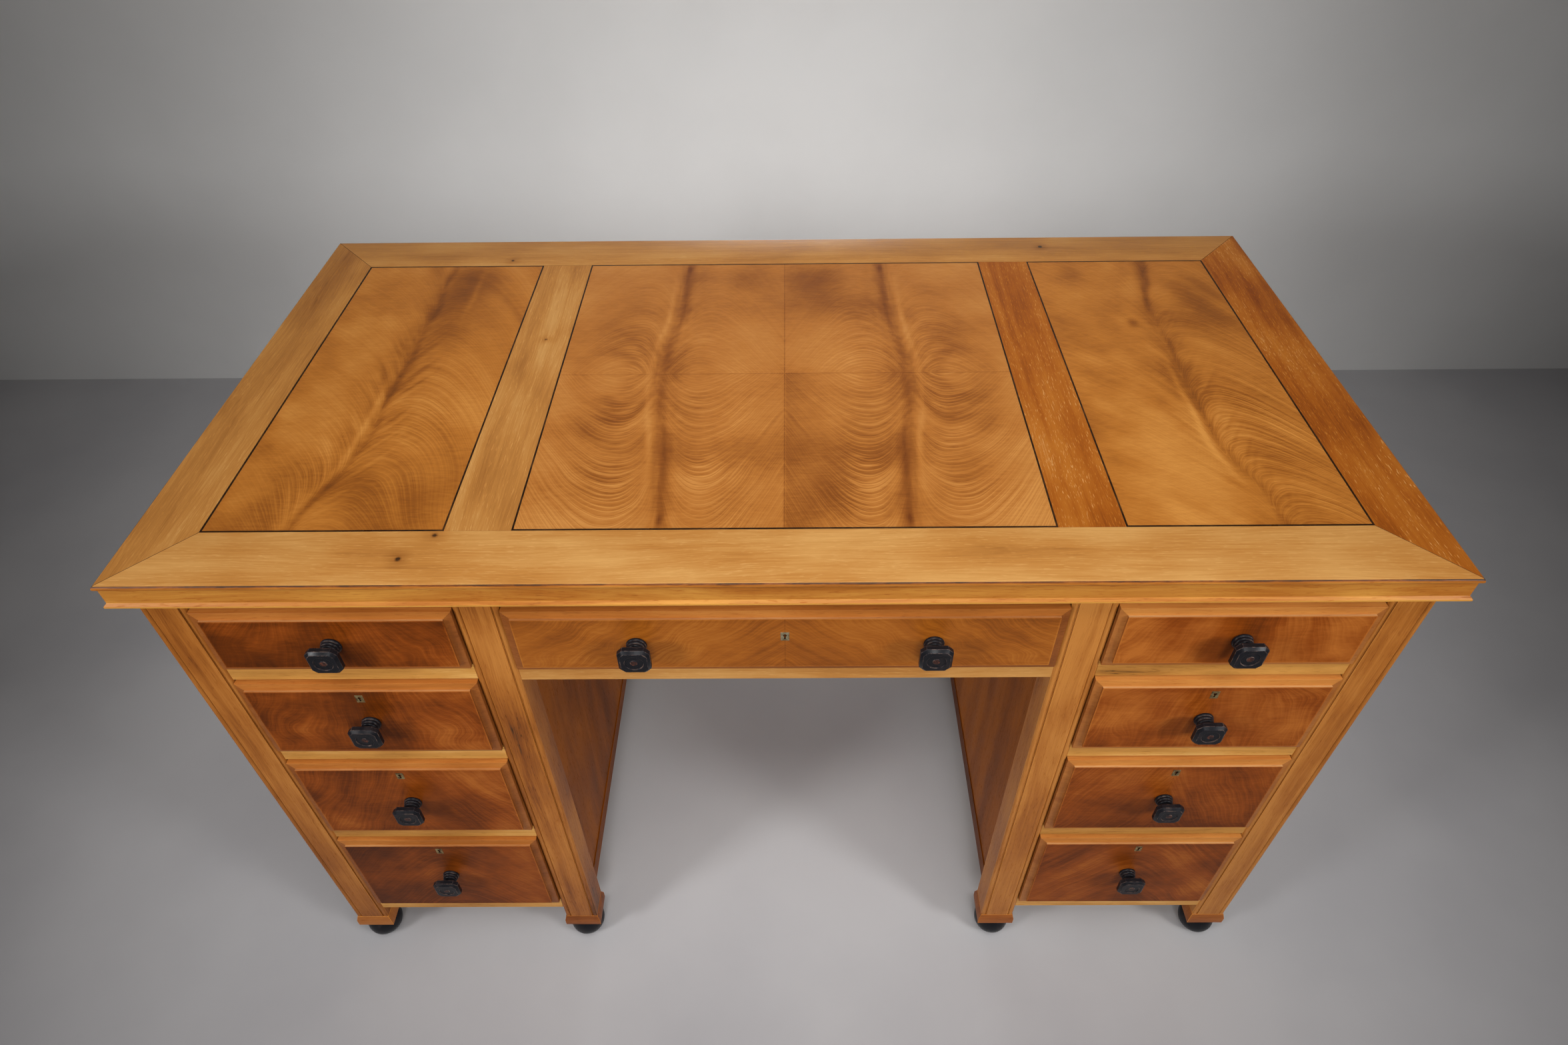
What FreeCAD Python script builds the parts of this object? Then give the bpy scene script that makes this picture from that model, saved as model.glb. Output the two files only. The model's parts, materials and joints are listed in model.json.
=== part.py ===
"""Kneehole desk: a veneered top on two four-drawer pedestals with a drawer between them.

Millimetres, +Z up, X along the width, the drawer fronts towards -Y. The origin is on the floor, under
the middle of the whole desk with its knobs.
"""

import FreeCAD, Part
import math
import os

import Sketcher

# Every driving size: the cell's name, millimetres, and what it measures.
SIZES = (
    ("desk_width", 1270.0, "the top from end to end"),
    ("top_depth", 670.0, "the top from front to back"),
    ("top_thickness", 28.8, "the moulded border board"),
    ("side_overhang", 15.0, "top past the carcass at each end"),
    ("front_overhang", 16.5, "top past the carcass at the front"),
    ("back_overhang", 16.5, "top past the carcass at the back"),
    ("lip_height", 6.4, "rounded upper lip of the edge moulding"),
    ("flare_edge", 2.0, "upright lower edge of the moulding, flush with the lip"),
    ("flare_height", 2.8, "slope from that edge in to the fascia"),
    ("fascia_recess", 2.8, "fascia behind the lip"),
    ("side_border_width", 68.6, "border board at each end"),
    ("long_border_width", 72.5, "border board at the front and back"),
    ("veneer_thickness", 1.6, "saw-cut veneer leaves and cross rails"),
    ("stringing_width", 2.0, "dark line round each veneer panel"),
    ("cross_rail_width", 65.1, "cross rail between two panels"),
    ("pedestal_width", 345.3, "pedestal over its posts"),
    ("post_width", 44.6, "post along X"),
    ("post_depth", 37.0, "post along Y"),
    ("post_bead_width", 6.4, "bead on a front arris of a post"),
    ("post_bead_rise", 1.8, "crest of the bead over its quirk"),
    ("quirk_width", 1.0, "narrow groove beside the bead"),
    ("foot_height", 43.0, "ball foot from floor to block"),
    ("ball_radius", 24.0, "ball foot"),
    ("foot_flat_radius", 8.5, "flat that the ball foot stands on"),
    ("foot_neck_radius", 12.5, "ball foot where it meets the block"),
    ("foot_dowel_radius", 6.0, "dowel on the ball foot"),
    ("foot_dowel_rise", 12.0, "dowel above the foot block"),
    ("foot_block_height", 21.0, "moulded block under a post"),
    ("foot_block_fillet", 12.0, "upright part of the block"),
    ("foot_block_projection", 2.6, "block past the post on each side"),
    ("leg_clearance", 89.9, "floor to the underside of the bottom rails"),
    ("bottom_rail_height", 22.0, "front rail under the lowest drawer"),
    ("rail_height", 22.0, "front rails between drawers"),
    ("top_rail_height", 20.3, "front rail hidden by the overhang"),
    ("rail_setback", 1.5, "rails behind the front plane of the posts"),
    ("first_opening_height", 89.2, "opening of the top drawer"),
    ("second_opening_height", 126.4, "opening of the second drawer"),
    ("third_opening_height", 154.5, "opening of the third drawer"),
    ("fourth_opening_height", 177.9, "opening of the lowest drawer"),
    ("centre_opening_height", 91.5, "opening of the drawer over the kneehole"),
    ("tenon_length", 18.0, "rail tenon inside a post"),
    ("tenon_depth", 14.0, "rail tenon along Y"),
    ("tenon_shoulder", 3.0, "rail above and below its tenon"),
    ("panel_thickness", 10.0, "end and kneehole panels"),
    ("panel_recess", 5.0, "panels behind the outer faces of the posts"),
    ("tongue_length", 7.0, "tongue of a panel in its groove"),
    ("tongue_thickness", 4.0, "tongue of a panel"),
    ("side_rail_height", 28.0, "rail under a side or back panel"),
    ("side_rail_recess", 3.5, "that rail behind the outer faces of the posts"),
    ("apron_thickness", 16.0, "board across the back of the kneehole"),
    ("runner_height", 14.0, "strip under a drawer side"),
    ("runner_bearing", 13.0, "runner inside the opening, under the drawer side"),
    ("guide_height", 22.0, "strip beside a drawer side"),
    ("centre_runner_width", 18.0, "runner of the middle drawer"),
    ("drawer_side_gap", 1.2, "drawer to post at each side"),
    ("drawer_top_gap", 2.4, "drawer front to the rail above"),
    ("sliding_gap", 0.3, "drawer above its runners"),
    ("front_slab", 18.5, "drawer front behind the face of the rails"),
    ("front_proud", 4.2, "edge of a drawer front before the face of the rails"),
    ("bevel_width", 8.4, "sloped margin round the raised field"),
    ("bevel_rise", 1.6, "slope of the margin, along Y"),
    ("field_step", 2.5, "sharp step up to the raised field"),
    ("drawer_length", 560.0, "pedestal drawer from the front plane to its back"),
    ("centre_drawer_length", 500.0, "middle drawer from the front plane to its back"),
    ("box_side_thickness", 10.0, "drawer sides"),
    ("box_back_thickness", 9.0, "drawer back"),
    ("box_bottom_thickness", 5.0, "drawer bottom"),
    ("box_bottom_rise", 8.0, "underside of the bottom above the drawer's edge"),
    ("box_top_drop", 6.0, "drawer sides below the top of the front"),
    ("box_groove_depth", 4.0, "groove for the bottom and housing for the back"),
    ("box_back_setback", 8.0, "drawer sides past the back"),
    ("dovetail_length", 12.0, "tails inside the drawer front"),
    ("dovetail_flare", 1.8, "each side of a tail, at its wide end"),
    ("knob_projection", 24.5, "knob in front of the raised field"),
    ("knob_head_width", 32.0, "square head across its flats"),
    ("knob_head_clip", 5.5, "clipped corner of the head"),
    ("knob_head_depth", 8.8, "head along the knob's axis"),
    ("knob_head_bevel", 2.8, "bevelled front rim of the head"),
    ("knob_back_bevel", 1.4, "bevelled back rim of the head"),
    ("knob_boss_radius", 9.4, "sunk ring on the face"),
    ("knob_boss_depth", 0.9, "sunk ring on the face"),
    ("knob_button_radius", 3.6, "button in the middle of the face"),
    ("knob_button_rise", 0.6, "button above the floor of the ring"),
    ("knob_base_radius", 10.4, "lowest turned ring, against the drawer"),
    ("knob_ring_radius", 9.6, "middle turned ring"),
    ("knob_collar_radius", 8.7, "upper turned ring"),
    ("knob_ring_height", 3.1, "each turned ring along the axis"),
    ("knob_ring_bulge", 0.7, "turned ring past the grooves beside it"),
    ("knob_neck_radius", 5.4, "neck behind the head"),
    ("knob_neck_length", 1.0, "straight part of the neck"),
    ("knob_cove_radius", 5.0, "hollow from the upper ring to the neck"),
    ("knob_spigot_radius", 5.0, "round tenon in the drawer front"),
    ("knob_spigot_length", 16.0, "round tenon in the drawer front"),
    ("bottom_knob_rise", 5.5, "lowest knobs above the middle of their fronts"),
    ("centre_knob_spacing", 292.4, "between the two knobs of the middle drawer"),
    ("keyhole_drop", 18.7, "keyhole below the top of a pedestal front"),
    ("centre_keyhole_drop", 32.0, "keyhole below the top of the middle front"),
    ("keyhole_radius", 1.8, "round part of the keyhole"),
    ("keyhole_slot_width", 1.8, "slot of the keyhole"),
    ("keyhole_slot_drop", 5.0, "slot below the keyhole's round part"),
    ("key_plate_width", 8.4, "brass plate round the keyhole"),
    ("key_plate_height", 12.0, "brass plate round the keyhole"),
    ("key_plate_thickness", 1.4, "brass plate round the keyhole"),
    ("key_plate_proud", 0.4, "plate in front of the raised field"),
    ("key_plate_rise", 4.6, "top of the plate above the keyhole's middle"),
    ("lock_width", 44.0, "lock case"),
    ("lock_depth", 9.0, "lock case along Y"),
    ("lock_tail", 12.0, "lock case below the keyhole"),
    ("bolt_width", 20.0, "lock bolt"),
    ("bolt_thickness", 4.0, "lock bolt"),
    ("bolt_length", 22.0, "lock bolt"),
    ("bolt_gap", 0.3, "bolt inside its case and mortise"),
    ("bolt_mortise_depth", 9.0, "mortise in the rail above"),
    ("cutter_overrun", 1.0, "cutters past the faces that they open"),
)

# How many dovetails join a drawer side to its front, from the top row down, then the middle drawer.
TAIL_COUNTS = (2, 3, 4, 4)
CENTRE_TAIL_COUNT = 2
# The part of the width between the end borders that the middle veneer panel takes.
CENTRE_PANEL_SHARE = 0.46204
# The part of a dovetail's pitch that the tail takes where it leaves the drawer side.
TAIL_WIDTH_SHARE = 0.55

doc = FreeCAD.newDocument("kneehole_desk")
sheet = doc.addObject("Spreadsheet::Sheet", "Sizes")
sheet.Label = "Sizes"
nodes = []


class Length:
    """A length: the formula that ties it to the sheet, and its value in millimetres."""

    def __init__(self, formula, value):
        self.formula = formula
        self.value = value

    def __add__(self, other):
        return Length(f"({self.formula} + {formula_of(other)})", self.value + value_of(other))

    def __radd__(self, other):
        return self + other

    def __sub__(self, other):
        return Length(f"({self.formula} - {formula_of(other)})", self.value - value_of(other))

    def __rsub__(self, other):
        return Length(f"({formula_of(other)} - {self.formula})", value_of(other) - self.value)

    def __neg__(self):
        return Length(f"(0 - {self.formula})", -self.value)

    def __mul__(self, other):
        return Length(f"({self.formula} * {formula_of(other)})", self.value * value_of(other))

    def __truediv__(self, other):
        return Length(f"({self.formula} / {formula_of(other)})", self.value / value_of(other))


def formula_of(amount):
    """The formula of a length, or a plain number as it is."""
    return amount.formula if isinstance(amount, Length) else repr(amount)


def value_of(amount):
    """The value of a length, or a plain number as it is."""
    return amount.value if isinstance(amount, Length) else amount


class Sizes:
    """The sheet's cells as lengths, by name."""

    def __init__(self, table):
        for row, (alias, amount, meaning) in enumerate(table, start=1):
            sheet.set(f"A{row}", alias)
            sheet.set(f"B{row}", str(amount))
            sheet.set(f"C{row}", meaning)
            sheet.setAlias(f"B{row}", alias)
            setattr(self, alias, Length(f"Sizes.{alias}", amount))


size = Sizes(SIZES)
doc.recompute()


def bind(item, **lengths):
    """Tie an object's properties to the sheet."""
    for name, length in lengths.items():
        item.setExpression(name, formula_of(length))


def place(item, x, y, z):
    """Tie an object's position to the sheet."""
    for axis, length in zip("xyz", (x, y, z)):
        item.setExpression(f".Placement.Base.{axis}", formula_of(length))
    return item


def block(name, x_span, y_span, z_span):
    """A plain block between two values along each axis."""
    item = doc.addObject("Part::Box", name)
    bind(item, Length=x_span[1] - x_span[0], Width=y_span[1] - y_span[0], Height=z_span[1] - z_span[0])
    return place(item, x_span[0], y_span[0], z_span[0])


def fuse(name, pieces):
    """One solid from several that touch or overlap."""
    item = doc.addObject("Part::MultiFuse", name)
    item.Shapes = pieces
    item.Refine = True
    return item


def cut(name, base, tools):
    """A solid less the space that the tools fill."""
    item = doc.addObject("Part::Cut", name)
    item.Base = base
    item.Tool = tools[0] if len(tools) == 1 else compound(f"{name}_tools", tools)
    return item


def compound(name, pieces):
    """Several objects kept as separate solids in one."""
    item = doc.addObject("Part::Compound", name)
    item.Links = pieces
    return item


def node(name, pieces):
    """A sub-part of the desk, which gets a file of its own."""
    item = compound(name, pieces)
    item.Label = name
    nodes.append(item)
    return item


def placed(name, master, x, y, z, turn=None):
    """The same solid at another place: a compound of it with a placement of its own."""
    item = compound(name, [master])
    if turn is not None:
        item.Placement = FreeCAD.Placement(FreeCAD.Vector(), turn)
    return place(item, x, y, z)


def mirrored(side, low, high):
    """A span on the +X side, or the same one seen in the middle plane."""
    return (low, high) if side > 0 else (-high, -low)


def origin_plane(body, role):
    """One of a body's own origin planes."""
    return next(feature for feature in body.Origin.OriginFeatures if feature.Role == role)


def arc_between(start, end, radius, turn):
    """The short arc from start to end, turning left (+1) or right (-1), and whether it is reversed."""
    chord = end - start
    rise = math.sqrt(max(radius ** 2 - (chord.Length / 2) ** 2, 0))
    across = FreeCAD.Vector(-chord.y, chord.x, 0).normalize() * turn
    centre = (start + end) * 0.5 + across * rise
    first, last = (start, end) if turn > 0 else (end, start)
    angles = [math.atan2(point.y - centre.y, point.x - centre.x) for point in (first, last)]
    circle = Part.Circle(centre, FreeCAD.Vector(0, 0, 1), radius)
    return Part.ArcOfCircle(circle, angles[0], angles[1]), turn < 0


def outline(body, name, role, corners, level=None):
    """A closed sketch on a body's origin plane, with every corner tied to the sheet.

    Each corner is (x, y), or (x, y, radius, turn) when an arc arrives there from the corner before.
    """
    sketch = body.newObject("Sketcher::SketchObject", name)
    sketch.AttachmentSupport = (origin_plane(body, role), [""])
    sketch.MapMode = "FlatFace"
    if level is not None:
        sketch.setExpression(".AttachmentOffset.Base.z", formula_of(level))
    points = [FreeCAD.Vector(value_of(corner[0]), value_of(corner[1]), 0) for corner in corners]
    ends = []
    for number, corner in enumerate(corners):
        start, end = points[number - 1], points[number]
        if len(corner) == 2:
            geometry, is_reversed = Part.LineSegment(start, end), False
        else:
            geometry, is_reversed = arc_between(start, end, corner[2].value, corner[3])
        index = sketch.addGeometry(geometry, False)
        ends.append((index, 2, 1) if is_reversed else (index, 1, 2))
    for number, corner in enumerate(corners):
        index, _, last = ends[number]
        following, first, _ = ends[(number + 1) % len(corners)]
        sketch.addConstraint(Sketcher.Constraint("Coincident", index, last, following, first))
        for kind, amount in zip(("DistanceX", "DistanceY"), corner[:2]):
            datum = Sketcher.Constraint(kind, -1, 1, index, last, value_of(amount))
            tie(sketch, sketch.addConstraint(datum), amount)
        if len(corner) > 2:
            datum = Sketcher.Constraint("Radius", index, corner[2].value)
            tie(sketch, sketch.addConstraint(datum), corner[2])
    return sketch


def tie(sketch, number, amount):
    """Tie one constraint of a sketch to the sheet, unless it is a plain zero."""
    if isinstance(amount, Length):
        sketch.setExpression(f"Constraints[{number}]", amount.formula)


def pad(body, name, sketch, length):
    """A pad of the sketch, along its plane's normal."""
    item = body.newObject("PartDesign::Pad", name)
    item.Profile = sketch
    bind(item, Length=length)
    return item


def revolve(body, name, sketch):
    """A full turn of the sketch about its own vertical axis."""
    item = body.newObject("PartDesign::Revolution", name)
    item.Profile = sketch
    item.ReferenceAxis = (sketch, ["V_Axis"])
    item.Angle = 360
    return item


def loft(body, name, sections):
    """A straight-sided loft through several sketches."""
    item = body.newObject("PartDesign::AdditiveLoft", name)
    item.Profile = sections[0]
    item.Sections = sections[1:]
    item.Ruled = True
    return item


def new_body(name):
    """A body to hold sketches and features."""
    return doc.addObject("PartDesign::Body", name)


def bulge_radius(chord, rise):
    """The radius of an arc with this chord and rise."""
    return (chord * chord / 4 + rise * rise) / (rise * 2)


# Levels, from the floor up.
post_foot = size.foot_height + size.foot_block_height
bottom_rail_top = size.leg_clearance + size.bottom_rail_height
third_rail = bottom_rail_top + size.fourth_opening_height
second_rail = third_rail + size.rail_height + size.third_opening_height
first_rail = second_rail + size.rail_height + size.second_opening_height
top_rail = first_rail + size.rail_height + size.first_opening_height
top_underside = top_rail + size.top_rail_height
top_face = top_underside + size.top_thickness
centre_rail = top_rail - size.centre_opening_height - size.rail_height
# The drawer openings of a pedestal from the top row down, as (bottom, top).
ROWS = (
    (first_rail + size.rail_height, top_rail),
    (second_rail + size.rail_height, first_rail),
    (third_rail + size.rail_height, second_rail),
    (bottom_rail_top, third_rail),
)

# Planes across the depth. The knobs reach furthest forward and the top furthest back.
field_proud = size.front_proud + size.bevel_rise + size.field_step - size.rail_setback
overall_depth = size.top_depth - size.front_overhang + field_proud + size.knob_projection
front_plane = field_proud + size.knob_projection - overall_depth / 2
back_plane = front_plane + size.top_depth - size.front_overhang - size.back_overhang
post_back = front_plane + size.post_depth
back_post_front = back_plane - size.post_depth
rail_face = front_plane + size.rail_setback
field_plane = front_plane - field_proud

# Planes across the width, on the +X side.
carcass_edge = size.desk_width / 2 - size.side_overhang
kneehole_edge = carcass_edge - size.pedestal_width
opening_inner = kneehole_edge + size.post_width
opening_outer = carcass_edge - size.post_width
pedestal_middle = (opening_inner + opening_outer) / 2
side_rail_thickness = size.panel_recess + size.panel_thickness - size.side_rail_recess


def board_section(width):
    """Corners of a border board's section: out from its inner edge, and up from its underside."""
    nose = width - size.fascia_recess
    lip_base = size.top_thickness - size.lip_height
    return [
        (0, 0),
        (width, 0),
        (width, size.flare_edge),
        (nose, size.flare_edge + size.flare_height),
        (nose, lip_base),
        (nose, size.top_thickness, bulge_radius(size.lip_height, size.fascia_recess), 1),
        (0, size.top_thickness),
    ]


def border_board(name, turn, place_at, reach, run, own_width, end_width):
    """One mitred board of the border: its section along its run, kept inside its mitred plan.

    It is drawn along X with its moulded edge towards +Y, then turned about Z into its place.
    """
    inner = reach - own_width
    section = [(corner[0] + inner, *corner[1:]) for corner in board_section(own_width)]
    blank = new_body(f"{name}_blank")
    section_sketch = outline(blank, f"{name}_section", "YZ_Plane", section)
    length = pad(blank, f"{name}_run", section_sketch, run * 2)
    length.Midplane = True
    plan = new_body(f"{name}_plan")
    near = run - end_width
    mitres = [(-near, inner), (near, inner), (run, reach), (-run, reach)]
    mitre_sketch = outline(plan, f"{name}_mitre_lines", "XY_Plane", mitres)
    pad(plan, f"{name}_mitres", mitre_sketch, size.top_thickness)
    board = doc.addObject("Part::Common", name)
    board.Base = blank
    board.Tool = plan
    return placed(f"{name}_placed", board, *place_at, FreeCAD.Rotation(FreeCAD.Vector(0, 0, 1), turn))


def make_top():
    """The top: mitred border, core board, cross rails, veneer panels and stringing."""
    front_edge = front_plane - size.front_overhang
    back_edge = back_plane + size.back_overhang
    field_x = size.desk_width / 2 - size.side_border_width
    field_y = (front_edge + size.long_border_width, back_edge - size.long_border_width)
    veneer_z = (top_face - size.veneer_thickness, top_face)
    middle = (0, (front_edge + back_edge) / 2, top_underside)
    long_board = (size.top_depth / 2, size.desk_width / 2, size.long_border_width, size.side_border_width)
    end_board = (size.desk_width / 2, size.top_depth / 2, size.side_border_width, size.long_border_width)
    node("top_border", [
        border_board("back_border", 0, middle, *long_board),
        border_board("left_border", 90, middle, *end_board),
        border_board("front_border", 180, middle, *long_board),
        border_board("right_border", 270, middle, *end_board),
    ])
    node("top_core", [block("core_board", (-field_x, field_x), field_y, (top_underside, veneer_z[0]))])
    line = size.stringing_width
    middle_half = field_x * CENTRE_PANEL_SHARE
    rail_low = middle_half + line
    rail_high = rail_low + size.cross_rail_width
    middle_y = (field_y[0] + field_y[1]) / 2
    rails, side_panels, strings = [], [], []
    for side, hand in ((-1, "left"), (1, "right")):
        rails.append(block(f"{hand}_cross_rail", mirrored(side, rail_low, rail_high), field_y, veneer_z))
        span = mirrored(side, rail_high, field_x)
        side_panels.append(inner_panel(f"{hand}_panel", span, field_y, veneer_z))
        strings += frame_strips(f"{hand}_line", span, field_y, veneer_z)
    strings += frame_strips("middle_line", (-rail_low, rail_low), field_y, veneer_z)
    leaves = []
    for side, hand in ((-1, "left"), (1, "right")):
        span = mirrored(side, 0, middle_half)
        leaves.append(block(f"{hand}_front_leaf", span, (field_y[0] + line, middle_y), veneer_z))
        leaves.append(block(f"{hand}_back_leaf", span, (middle_y, field_y[1] - line), veneer_z))
    node("top_cross_rails", rails)
    node("top_side_panels", side_panels)
    node("top_centre_panel", leaves)
    node("top_stringing", strings)


def inner_panel(name, x_span, y_span, z_span):
    """A veneer leaf inside the stringing of its rectangle."""
    line = size.stringing_width
    return block(name, (x_span[0] + line, x_span[1] - line), (y_span[0] + line, y_span[1] - line), z_span)


def frame_strips(name, x_span, y_span, z_span):
    """Four strips of stringing round the inside of a rectangle."""
    line = size.stringing_width
    sides_y = (y_span[0] + line, y_span[1] - line)
    return [
        block(f"{name}_front", x_span, (y_span[0], sides_y[0]), z_span),
        block(f"{name}_back", x_span, (sides_y[1], y_span[1]), z_span),
        block(f"{name}_left", (x_span[0], x_span[0] + line), sides_y, z_span),
        block(f"{name}_right", (x_span[1] - line, x_span[1]), sides_y, z_span),
    ]


def tenoned_rail(name, x_span, z_span, y_low, y_high):
    """A rail between two posts, with a tenon at each end."""
    middle = (y_low + y_high) / 2
    tenon_y = (middle - size.tenon_depth / 2, middle + size.tenon_depth / 2)
    tenon_x = (x_span[0] - size.tenon_length, x_span[1] + size.tenon_length)
    tenon_z = (z_span[0] + size.tenon_shoulder, z_span[1] - size.tenon_shoulder)
    rail = block(f"{name}_body", x_span, (y_low, y_high), z_span)
    tenon = block(f"{name}_tenon", tenon_x, tenon_y, tenon_z)
    return fuse(name, [rail, tenon])


def bolt_mortise(name, middle_x, level):
    """The mortise that a lock bolt shoots into, up from the underside of a rail."""
    half = size.bolt_width / 2 + size.bolt_gap
    bolt_y = bolt_plane()
    reach = size.bolt_thickness / 2 + size.bolt_gap
    return block(name, (middle_x - half, middle_x + half), (bolt_y - reach, bolt_y + reach),
                 (level, level + size.bolt_mortise_depth))


def bolt_plane():
    """The middle of a lock bolt's thickness, along Y."""
    return rail_face + size.front_slab - size.lock_depth / 2


def make_rails():
    """Front rails of both pedestals and of the kneehole, with mortises for the lock bolts."""
    levels = [
        (size.leg_clearance, bottom_rail_top),
        (third_rail, third_rail + size.rail_height),
        (second_rail, second_rail + size.rail_height),
        (first_rail, first_rail + size.rail_height),
        (top_rail, top_underside),
    ]
    every_rail = {}
    for side, hand in ((-1, "left"), (1, "right")):
        rails = []
        for number, z_span in enumerate(levels):
            name = f"{hand}_rail_{number + 1}"
            x_span = mirrored(side, opening_inner, opening_outer)
            rail = tenoned_rail(name, x_span, z_span, rail_face, post_back)
            if 0 < number < len(levels) - 1:
                mortise = bolt_mortise(f"{name}_mortise", pedestal_middle * side, z_span[0])
                rail = cut(f"{name}_mortised", rail, [mortise])
            rails.append(rail)
        node(f"drawer_rails_{hand}", rails)
        every_rail[hand] = rails
    kneehole = (-kneehole_edge, kneehole_edge)
    lower = tenoned_rail("kneehole_rail", kneehole, (centre_rail, centre_rail + size.rail_height),
                         rail_face, post_back)
    upper = tenoned_rail("kneehole_top_rail", kneehole, (top_rail, top_underside), rail_face, post_back)
    upper = cut("kneehole_top_rail_mortised", upper, [bolt_mortise("kneehole_mortise", 0, top_rail)])
    node("centre_drawer_rails", [lower, upper])
    every_rail["centre"] = [lower, upper]
    return every_rail


def tongued_panel(name, x_span, y_span, z_span, across):
    """A panel whose ends and lower edge have a tongue. It lies in the YZ plane, or in XZ for a back."""
    thin = x_span if across == "x" else y_span
    middle = (thin[0] + thin[1]) / 2
    tongue_thin = (middle - size.tongue_thickness / 2, middle + size.tongue_thickness / 2)
    reach = size.tongue_length
    long_span = y_span if across == "x" else x_span
    tongue_long = (long_span[0] - reach, long_span[1] + reach)
    tongue_z = (z_span[0] - reach, z_span[1])
    panel = block(f"{name}_board", x_span, y_span, z_span)
    spans = (tongue_thin, tongue_long) if across == "x" else (tongue_long, tongue_thin)
    tongue = block(f"{name}_tongue", spans[0], spans[1], tongue_z)
    return fuse(name, [panel, tongue])


def side_wall(name, outer_face, inward):
    """A panel and its bottom rail between a front and a back post, recessed from their outer faces."""
    y_span = (post_back, back_post_front)
    face = outer_face + size.panel_recess * inward
    x_span = ordered(face, face + size.panel_thickness * inward)
    rail_top = size.leg_clearance + size.side_rail_height
    panel = tongued_panel(f"{name}_panel", x_span, y_span, (rail_top, top_underside), "x")
    rail_face_x = outer_face + size.side_rail_recess * inward
    rail_x = ordered(rail_face_x, rail_face_x + side_rail_thickness * inward)
    rail = block(f"{name}_rail_board", rail_x, y_span, (size.leg_clearance, rail_top))
    middle = (rail_x[0] + rail_x[1]) / 2
    tenon = block(f"{name}_rail_tenon",
                  (middle - size.tongue_thickness, middle + size.tongue_thickness),
                  (y_span[0] - size.tongue_length, y_span[1] + size.tongue_length),
                  (size.leg_clearance + size.tenon_shoulder, rail_top - size.tenon_shoulder * 3))
    rail = cut(f"{name}_rail", fuse(f"{name}_rail_solid", [rail, tenon]), [panel])
    return panel, rail


def ordered(first, second):
    """Two values as a span, the lower one first."""
    return (first, second) if value_of(first) < value_of(second) else (second, first)


def back_wall(name, x_span):
    """A back panel and its bottom rail between two back posts."""
    face = back_plane - size.panel_recess
    rail_top = size.leg_clearance + size.side_rail_height
    panel = tongued_panel(f"{name}_panel", x_span, (face - size.panel_thickness, face),
                          (rail_top, top_underside), "y")
    rail_back = back_plane - size.side_rail_recess
    rail_y = (rail_back - side_rail_thickness, rail_back)
    middle = (rail_y[0] + rail_y[1]) / 2
    rail = block(f"{name}_rail_board", x_span, rail_y, (size.leg_clearance, rail_top))
    tenon = block(f"{name}_rail_tenon", (x_span[0] - size.tongue_length, x_span[1] + size.tongue_length),
                  (middle - size.tongue_thickness, middle + size.tongue_thickness),
                  (size.leg_clearance + size.tenon_shoulder, rail_top - size.tenon_shoulder * 3))
    rail = cut(f"{name}_rail", fuse(f"{name}_rail_solid", [rail, tenon]), [panel])
    return panel, rail


def make_walls():
    """End, kneehole and back panels with their bottom rails, and the apron behind the kneehole.

    Returns the panel and rail of each wall by (hand, place), and the apron.
    """
    walls = {}
    for side, hand in ((-1, "left"), (1, "right")):
        walls[hand, "outer"] = side_wall(f"{hand}_end", carcass_edge * side, -side)
        walls[hand, "inner"] = side_wall(f"{hand}_kneehole", kneehole_edge * side, side)
        walls[hand, "back"] = back_wall(f"{hand}_back", mirrored(side, opening_inner, opening_outer))
    face = back_plane - size.side_rail_recess
    apron = tenoned_rail("apron_board", (-kneehole_edge, kneehole_edge), (centre_rail, top_underside),
                         face - size.apron_thickness, face)
    for label, where in (("end_panels", "outer"), ("kneehole_panels", "inner"), ("back_panels", "back")):
        node(label, [walls[hand, where][0] for hand in ("left", "right")])
    node("bottom_rails", [rail for _, rail in walls.values()])
    node("back_apron", [apron])
    return walls, apron


def post_section():
    """Corners of a front post's section: along X from its left face, and back from the front plane."""
    width = size.post_width
    bead = size.post_bead_width
    rise = size.post_bead_rise
    flat = bead + size.quirk_width
    radius = bulge_radius(bead, rise)
    return [
        (0, rise),
        (bead, rise, radius, 1),
        (flat, rise),
        (flat, 0),
        (width - flat, 0),
        (width - flat, rise),
        (width - bead, rise),
        (width, rise, radius, 1),
        (width, size.post_depth),
        (0, size.post_depth),
    ]


def make_posts(rails, walls, apron):
    """Eight posts, cut for every tenon and tongue, and the corners that their feet stand at."""
    height = top_underside - post_foot
    front_blank = new_body("front_post_blank")
    front_section = outline(front_blank, "front_post_section", "XY_Plane", post_section())
    pad(front_blank, "front_post_length", front_section, height)
    plain = [(0, 0), (size.post_width, 0), (size.post_width, size.post_depth), (0, size.post_depth)]
    back_blank = new_body("back_post_blank")
    pad(back_blank, "back_post_length", outline(back_blank, "back_post_section", "XY_Plane", plain), height)
    front_posts, back_posts, feet = [], [], []
    for side, hand in ((-1, "left"), (1, "right")):
        places = (
            ("outer", opening_outer, carcass_edge, [], []),
            ("inner", kneehole_edge, opening_inner, rails["centre"], [apron]),
        )
        for where, near, far, front_extra, back_extra in places:
            x_low = mirrored(side, near, far)[0]
            wall = list(walls[hand, where])
            front = placed(f"{hand}_{where}_front", front_blank, x_low, front_plane, post_foot)
            front_tools = rails[hand] + wall + front_extra
            front_posts.append(cut(f"{hand}_{where}_front_post", front, front_tools))
            back = placed(f"{hand}_{where}_back", back_blank, x_low, back_post_front, post_foot)
            back_tools = list(walls[hand, "back"]) + wall + back_extra
            back_posts.append(cut(f"{hand}_{where}_back_post", back, back_tools))
            feet += [(x_low, front_plane), (x_low, back_post_front)]
    return front_posts, back_posts, feet


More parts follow.
